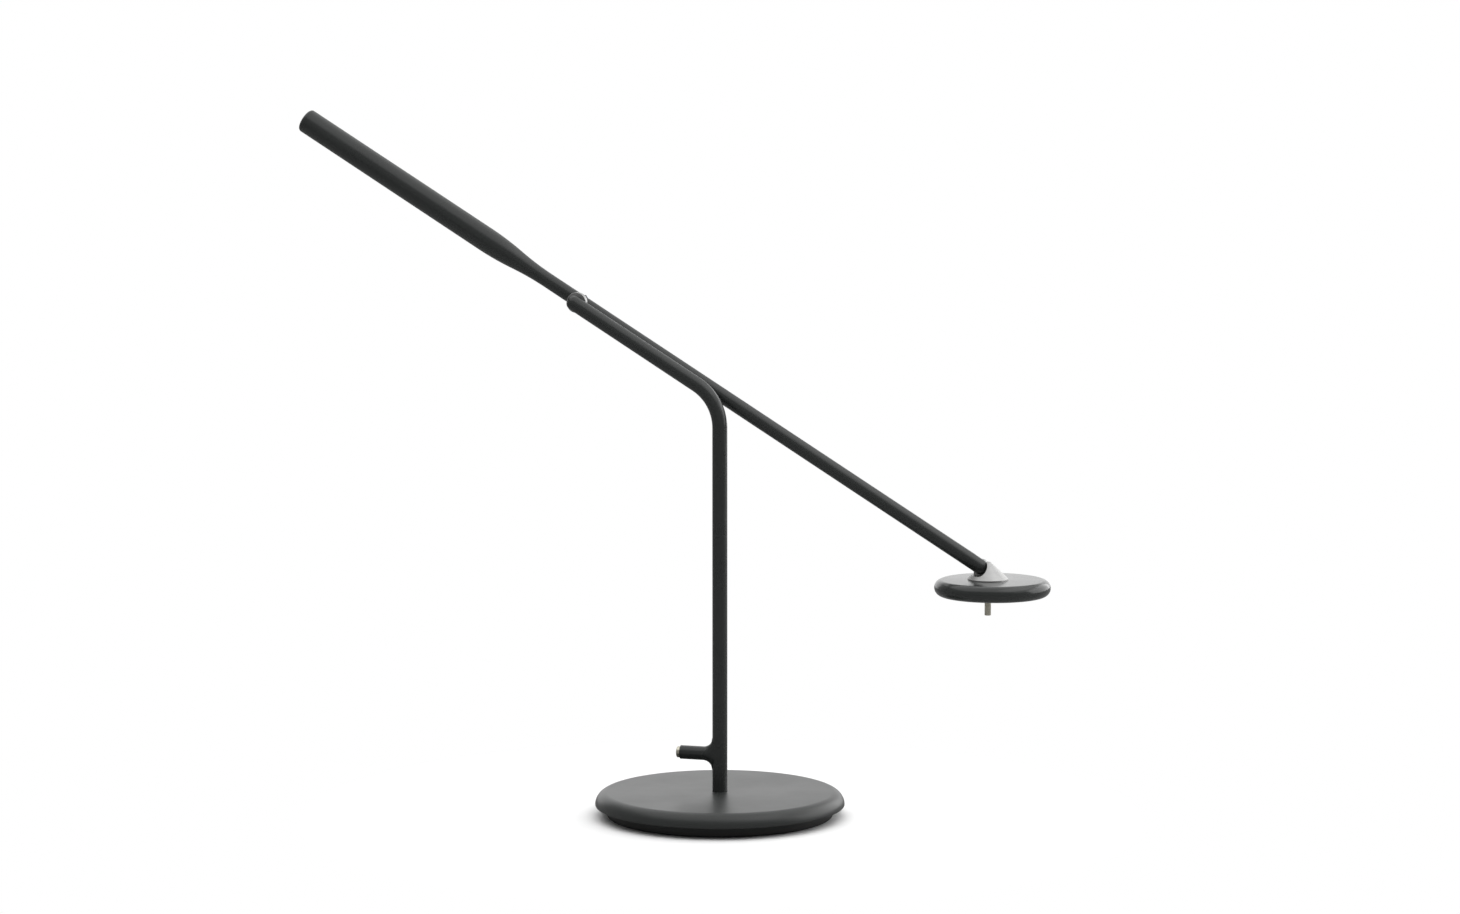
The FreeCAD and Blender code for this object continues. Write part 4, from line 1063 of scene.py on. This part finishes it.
@dataclass
class Head(Assembly):
    """Disc-shaped head with its neck, diffuser, light engine and aiming pin.

    Attributes:
        linkage: shared places.
        radius: outer radius of the head.
        thickness: thickness of the head, whose edge is fully rounded.
        cover_wall: thickness of the cover's top.
        cavity: radius of the cover's cavity.
        window: radius of the light opening.
        ring_height: thickness of the ring round the light opening.
        neck_shift: distance of the neck's axis from the head joint.
        head_shift: distance of the head's centre from the neck's axis.
        neck_radius: radius of the neck's foot.
        neck_height: height of the neck above the head.
        neck_tip: radius of the neck's tip.
        nose_clear: gap between the neck's saddle and the arm's end.
        lug: radius and thickness of the lug that laps the arm's end.
        lug_bore: radius of the lug's hole.
        washer: thickness of the washer between lug and arm.
        pin_radius: radius of the aiming pin.
        pin_length: length of the pin below the head.
        thread: radius of the pin's thread and its reach into the neck.
        shoulder_depth: depth of the pin's shoulder under the head's top.
    """

    linkage: Linkage = field(default_factory=Linkage)
    body: str = "head"
    radius: float = 45.7 * MM
    thickness: float = 12.8 * MM
    cover_wall: float = 1.8 * MM
    cavity: float = 38.3 * MM
    window: float = 34.5 * MM
    ring_height: float = 1.2 * MM
    neck_shift: float = 5.9 * MM
    head_shift: float = 3.6 * MM
    neck_radius: float = 16 * MM
    neck_height: float = 14 * MM
    neck_tip: float = 1.8 * MM
    nose_clear: float = 0.5 * MM
    lug: tuple[float, float] = (5.8 * MM, 4.4 * MM)
    lug_bore: float = 2.05 * MM
    washer: float = 0.5 * MM
    pin_radius: float = 2.5 * MM
    pin_length: float = 15.6 * MM
    thread: tuple[float, float] = (2 * MM, 3.8 * MM)
    shoulder_depth: float = 4.8 * MM

    @property
    def top(self) -> float:
        """Height of the head's top."""
        return self.linkage.joint.z - self.linkage.neck_rise

    @property
    def low(self) -> float:
        """Height of the head's underside."""
        return self.top - self.thickness

    def spot(self, x: float, z: float) -> Vector:
        """A place in the arm's plane, x from the head joint, at a height."""
        return Vector((self.linkage.joint.x + x, self.linkage.arm_side, z))

    def build(self) -> None:
        """Makes the head's pieces."""
        centre = self.neck_shift + self.head_shift
        self.piece(self.cover(centre), Finish.HEAD_COAT, "arm_coat", "head_cover")
        self.piece(self.neck(), Finish.SATIN_STEEL, "satin_steel", "head_neck")
        ring = ring_profile(self.window, self.cavity, self.ring_height, (0.3, 0.1, 0, 0.1))
        place = Matrix.Translation(self.spot(centre, self.low))
        self.piece(lathe("diffuser_ring_look", ring, place, 160, hollow=True),
                   Finish.HEAD_COAT, "arm_coat", "diffuser_ring")
        self.piece(self.pin(), Finish.BRASS, "brass", "aim_pin")
        self.keep(Finish.OPAL, "diffuser")
        self.keep(Finish.PLATED, "heat_sink", "board_screws")
        self.keep(Finish.MASK, "lamp_board")
        self.keep(Finish.PHOSPHOR, "light_chips")
        self.keep(Finish.INSULATION, "head_lead")

    def cover(self, centre: float) -> Object:
        """Cover whose edge is half a circle: radius R - r + r cos t, height r + r sin t."""
        half = self.thickness / 2
        steps = np.linspace(-math.pi / 2, math.pi / 2, 49)
        edge = np.stack([self.radius - half + half * np.cos(steps), half + half * np.sin(steps)], axis=1)
        ceiling = self.thickness - self.cover_wall
        profile = np.vstack([[[0, ceiling], [self.cavity, ceiling], [self.cavity, 0]], edge,
                             [[0, self.thickness]]])
        return lathe("head_cover_look", profile, Matrix.Translation(self.spot(centre, self.low)), 224)

    def neck(self) -> Object:
        """Turned cone with the saddle for the arm's end and the lug behind it."""
        link = self.linkage
        profile = rounded_profile([
            Corner(0, 0), Corner(self.neck_radius, 0), Corner(self.neck_radius, 0.8 * MM, 0.3 * MM),
            Corner(self.neck_tip, self.neck_height, 0.5 * MM), Corner(0, self.neck_height),
        ])
        cone = lathe("head_neck_look", profile, Matrix.Translation(self.spot(self.neck_shift, self.top)), 128)
        clear = link.tube_radius + self.nose_clear
        joint = link.joint
        across = Axis.FAR.matrix(joint - Vector((0, 20 * MM, 0)))
        left = brick((joint.x - 40 * MM, joint.y - 20 * MM, joint.z - clear),
                     (joint.x, joint.y + 20 * MM, joint.z + 20 * MM))
        carve(cone, [rod(clear, 40 * MM, across, 96), left])
        radius, height = self.lug
        side = joint + Vector((0, self.washer, 0))
        block = brick((joint.x - radius, side.y, self.top + 0.1 * MM),
                      (joint.x + radius, side.y + height, joint.z))
        carve(cone, [rod(radius, height, Axis.FAR.matrix(side), 72), block], union=True)
        carve(cone, [rod(self.lug_bore, 12 * MM, Axis.FAR.matrix(joint - Vector((0, 2 * MM, 0))))])
        soften(cone, 0.2 * MM)
        return cone

    def pin(self) -> Object:
        """Aiming pin with its thread inside the head."""
        thread, reach = self.thread
        shoulder, tip = self.thickness - self.shoulder_depth, self.thickness + reach
        profile = rounded_profile([
            Corner(0, -self.pin_length), Corner(self.pin_radius, -self.pin_length, 0.5 * MM),
            Corner(self.pin_radius, shoulder), Corner(thread, shoulder), Corner(thread, tip), Corner(0, tip),
        ])
        return lathe("aim_pin_look", profile, Matrix.Translation(self.spot(self.neck_shift, self.low)), 64)


# ---------------------------------------------------------------- studio


@dataclass
class Studio:
    """White floor, background, soft boxes and camera.

    Attributes:
        azimuth: turn of the camera round the lamp, in degrees.
        distance: horizontal distance of the camera from the post.
        height: height of the camera.
        pitch: downward tilt of the camera, in degrees.
        offset: shift of the camera to its right.
        lens: focal length in millimetres on a sensor 36 mm wide.
        sensor: width of that sensor in millimetres.
        room: grey of the room in reflections and on the lamp.
        floor_greys: greys of the floor's grain.
        floor_mirrored: grey of the floor in reflections.
        shadow_reach: distances from the base's centre over which the floor turns to plain white.
    """

    azimuth: float = 17.0
    distance: float = 3.2
    height: float = 0.641
    pitch: float = 6.27
    offset: float = 0.0081
    lens: float = 99.883
    sensor: float = 36.0
    room: float = 0.30
    floor_greys: tuple[float, float] = (0.77, 0.755)
    floor_mirrored: float = 0.20
    shadow_reach: tuple[float, float] = (0.16, 0.34)

    def build(self) -> None:
        """Makes the studio."""
        self.world()
        self.floor()
        self.lights()
        self.camera()
        bpy.context.scene.view_settings.view_transform = "Standard"

    def world(self) -> None:
        """White for the camera and a dim grey room for everything else."""
        world = bpy.data.worlds.new("studio")
        bpy.context.scene.world = world
        world.use_nodes = True
        tree = world.node_tree
        shader = next(node for node in tree.nodes if node.type == "BACKGROUND")
        camera_ray = add(tree, "LightPath")["Is Camera Ray"]
        fill(shader, {"Color": mix_colors(tree, camera_ray, grey(self.room), grey(1.0))})

    def floor(self) -> None:
        """A pale floor, white to the camera except where the lamp shades it, and dim in reflections."""
        bpy.ops.mesh.primitive_plane_add(size=12.0, location=(0, 0, 0))
        floor = bpy.context.object
        floor.name = "floor"
        material, tree, shader = new_material("floor_white")
        grain = remap(tree, object_noise(tree, 60, 3.0), 0.3, 0.7)
        tone = mix_colors(tree, grain, *map(grey, self.floor_greys))
        glossy_ray = add(tree, "LightPath")["Is Glossy Ray"]
        seen = mix_colors(tree, glossy_ray, tone, grey(self.floor_mirrored))
        fill(shader, {"Base Color": seen, "Roughness": 0.9})
        shader.inputs["Specular IOR Level"].default_value = 0.0
        self.fade_to_white(tree, shader)
        floor.data.materials.append(material)

    def fade_to_white(self, tree: Tree, shader: Node) -> None:
        """Lets the camera see plain white past the shadow's reach, and through the floor from below."""
        place = add(tree, "TexCoord")["Object"]
        reach = add(tree, "VectorMath", {0: place}, operation="LENGTH")["Value"]
        seen = multiply(tree, remap(tree, reach, *self.shadow_reach), add(tree, "LightPath")["Is Camera Ray"])
        above = add(tree, "MixShader", {0: seen, 1: shader.outputs[0], 2: add(tree, "Emission")[0]})[0]
        below = add(tree, "NewGeometry")["Backfacing"]
        surface = add(tree, "MixShader", {0: below, 1: above, 2: add(tree, "BsdfTransparent")[0]})[0]
        fill(next(node for node in tree.nodes if node.type == "OUTPUT_MATERIAL"), {"Surface": surface})

    def card(self, name: str, place: tuple[float, float, float], aim: tuple[float, float, float],
             size: tuple[float, float], watts: float, mirrored: bool = True) -> None:
        """Adds a soft box.

        Args:
            name: name of the light.
            place: its centre.
            aim: the point that it faces.
            size: width and height.
            watts: its power.
            mirrored: whether glossy surfaces show it.
        """
        lamp = bpy.data.lights.new(name, "AREA")
        lamp.shape = "RECTANGLE"
        lamp.size, lamp.size_y = size
        lamp.energy = watts
        obj = bpy.data.objects.new(name, lamp)
        obj.location = place
        obj.rotation_euler = (Vector(aim) - Vector(place)).to_track_quat("-Z", "Y").to_euler()
        obj.visible_camera = False
        obj.visible_glossy = mirrored
        bpy.context.scene.collection.objects.link(obj)

    def lights(self) -> None:
        """Backdrop glow, overhead boxes, and the boxes on the right whose reflections draw the bands."""
        self.card("backdrop", (-0.7, 2.6, 0.75), (0.0, 0.0, 0.2), (4.2, 1.5), 20.0)
        self.card("overhead", (0.0, 0.3, 2.2), (0.0, 0.2, 0.0), (4.4, 4.4), 52.0)
        self.card("overhead_fill", (0.0, 0.3, 2.25), (0.0, 0.2, 0.0), (4.4, 4.4), 58.0, mirrored=False)
        self.card("right_box", (1.66, 1.45, 0.85), (0.0, 0.0, 0.25), (3.2, 1.5), 28.0)
        self.card("upper_right_box", (1.41, 0.0, 1.76), (0.0, 0.0, 0.35), (1.9, 1.9), 8.0)

    def camera(self) -> None:
        """Camera on the far end of a long lens, looking slightly down."""
        turn = math.radians(self.azimuth)
        right = Vector((math.cos(turn), math.sin(turn), 0))
        place = Vector((math.sin(turn), -math.cos(turn), 0)) * self.distance + right * self.offset
        data = bpy.data.cameras.new("camera")
        data.lens = self.lens
        data.sensor_width = self.sensor
        data.clip_end = 50.0
        data.dof.use_dof = False
        camera = bpy.data.objects.new("camera", data)
        camera.location = (place.x, place.y, self.height)
        camera.rotation_euler = (math.radians(90 - self.pitch), 0, turn)
        bpy.context.scene.collection.objects.link(camera)
        bpy.context.scene.camera = camera


def grey(level: float) -> tuple[float, float, float]:
    """A colour without a hue."""
    return level, level, level


def main() -> None:
    """Builds the lamp's looks and the studio."""
    logging.basicConfig(level=logging.INFO, format="%(name)s: %(message)s")
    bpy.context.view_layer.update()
    palette = Palette()
    linkage = Linkage()
    Base(palette).build()
    Post(palette, linkage=linkage).build()
    Button(palette, linkage=linkage).build()
    Arm(palette, linkage=linkage).build()
    Head(palette, linkage=linkage).build()
    Studio().build()


if __name__ == "__main__":
    main()
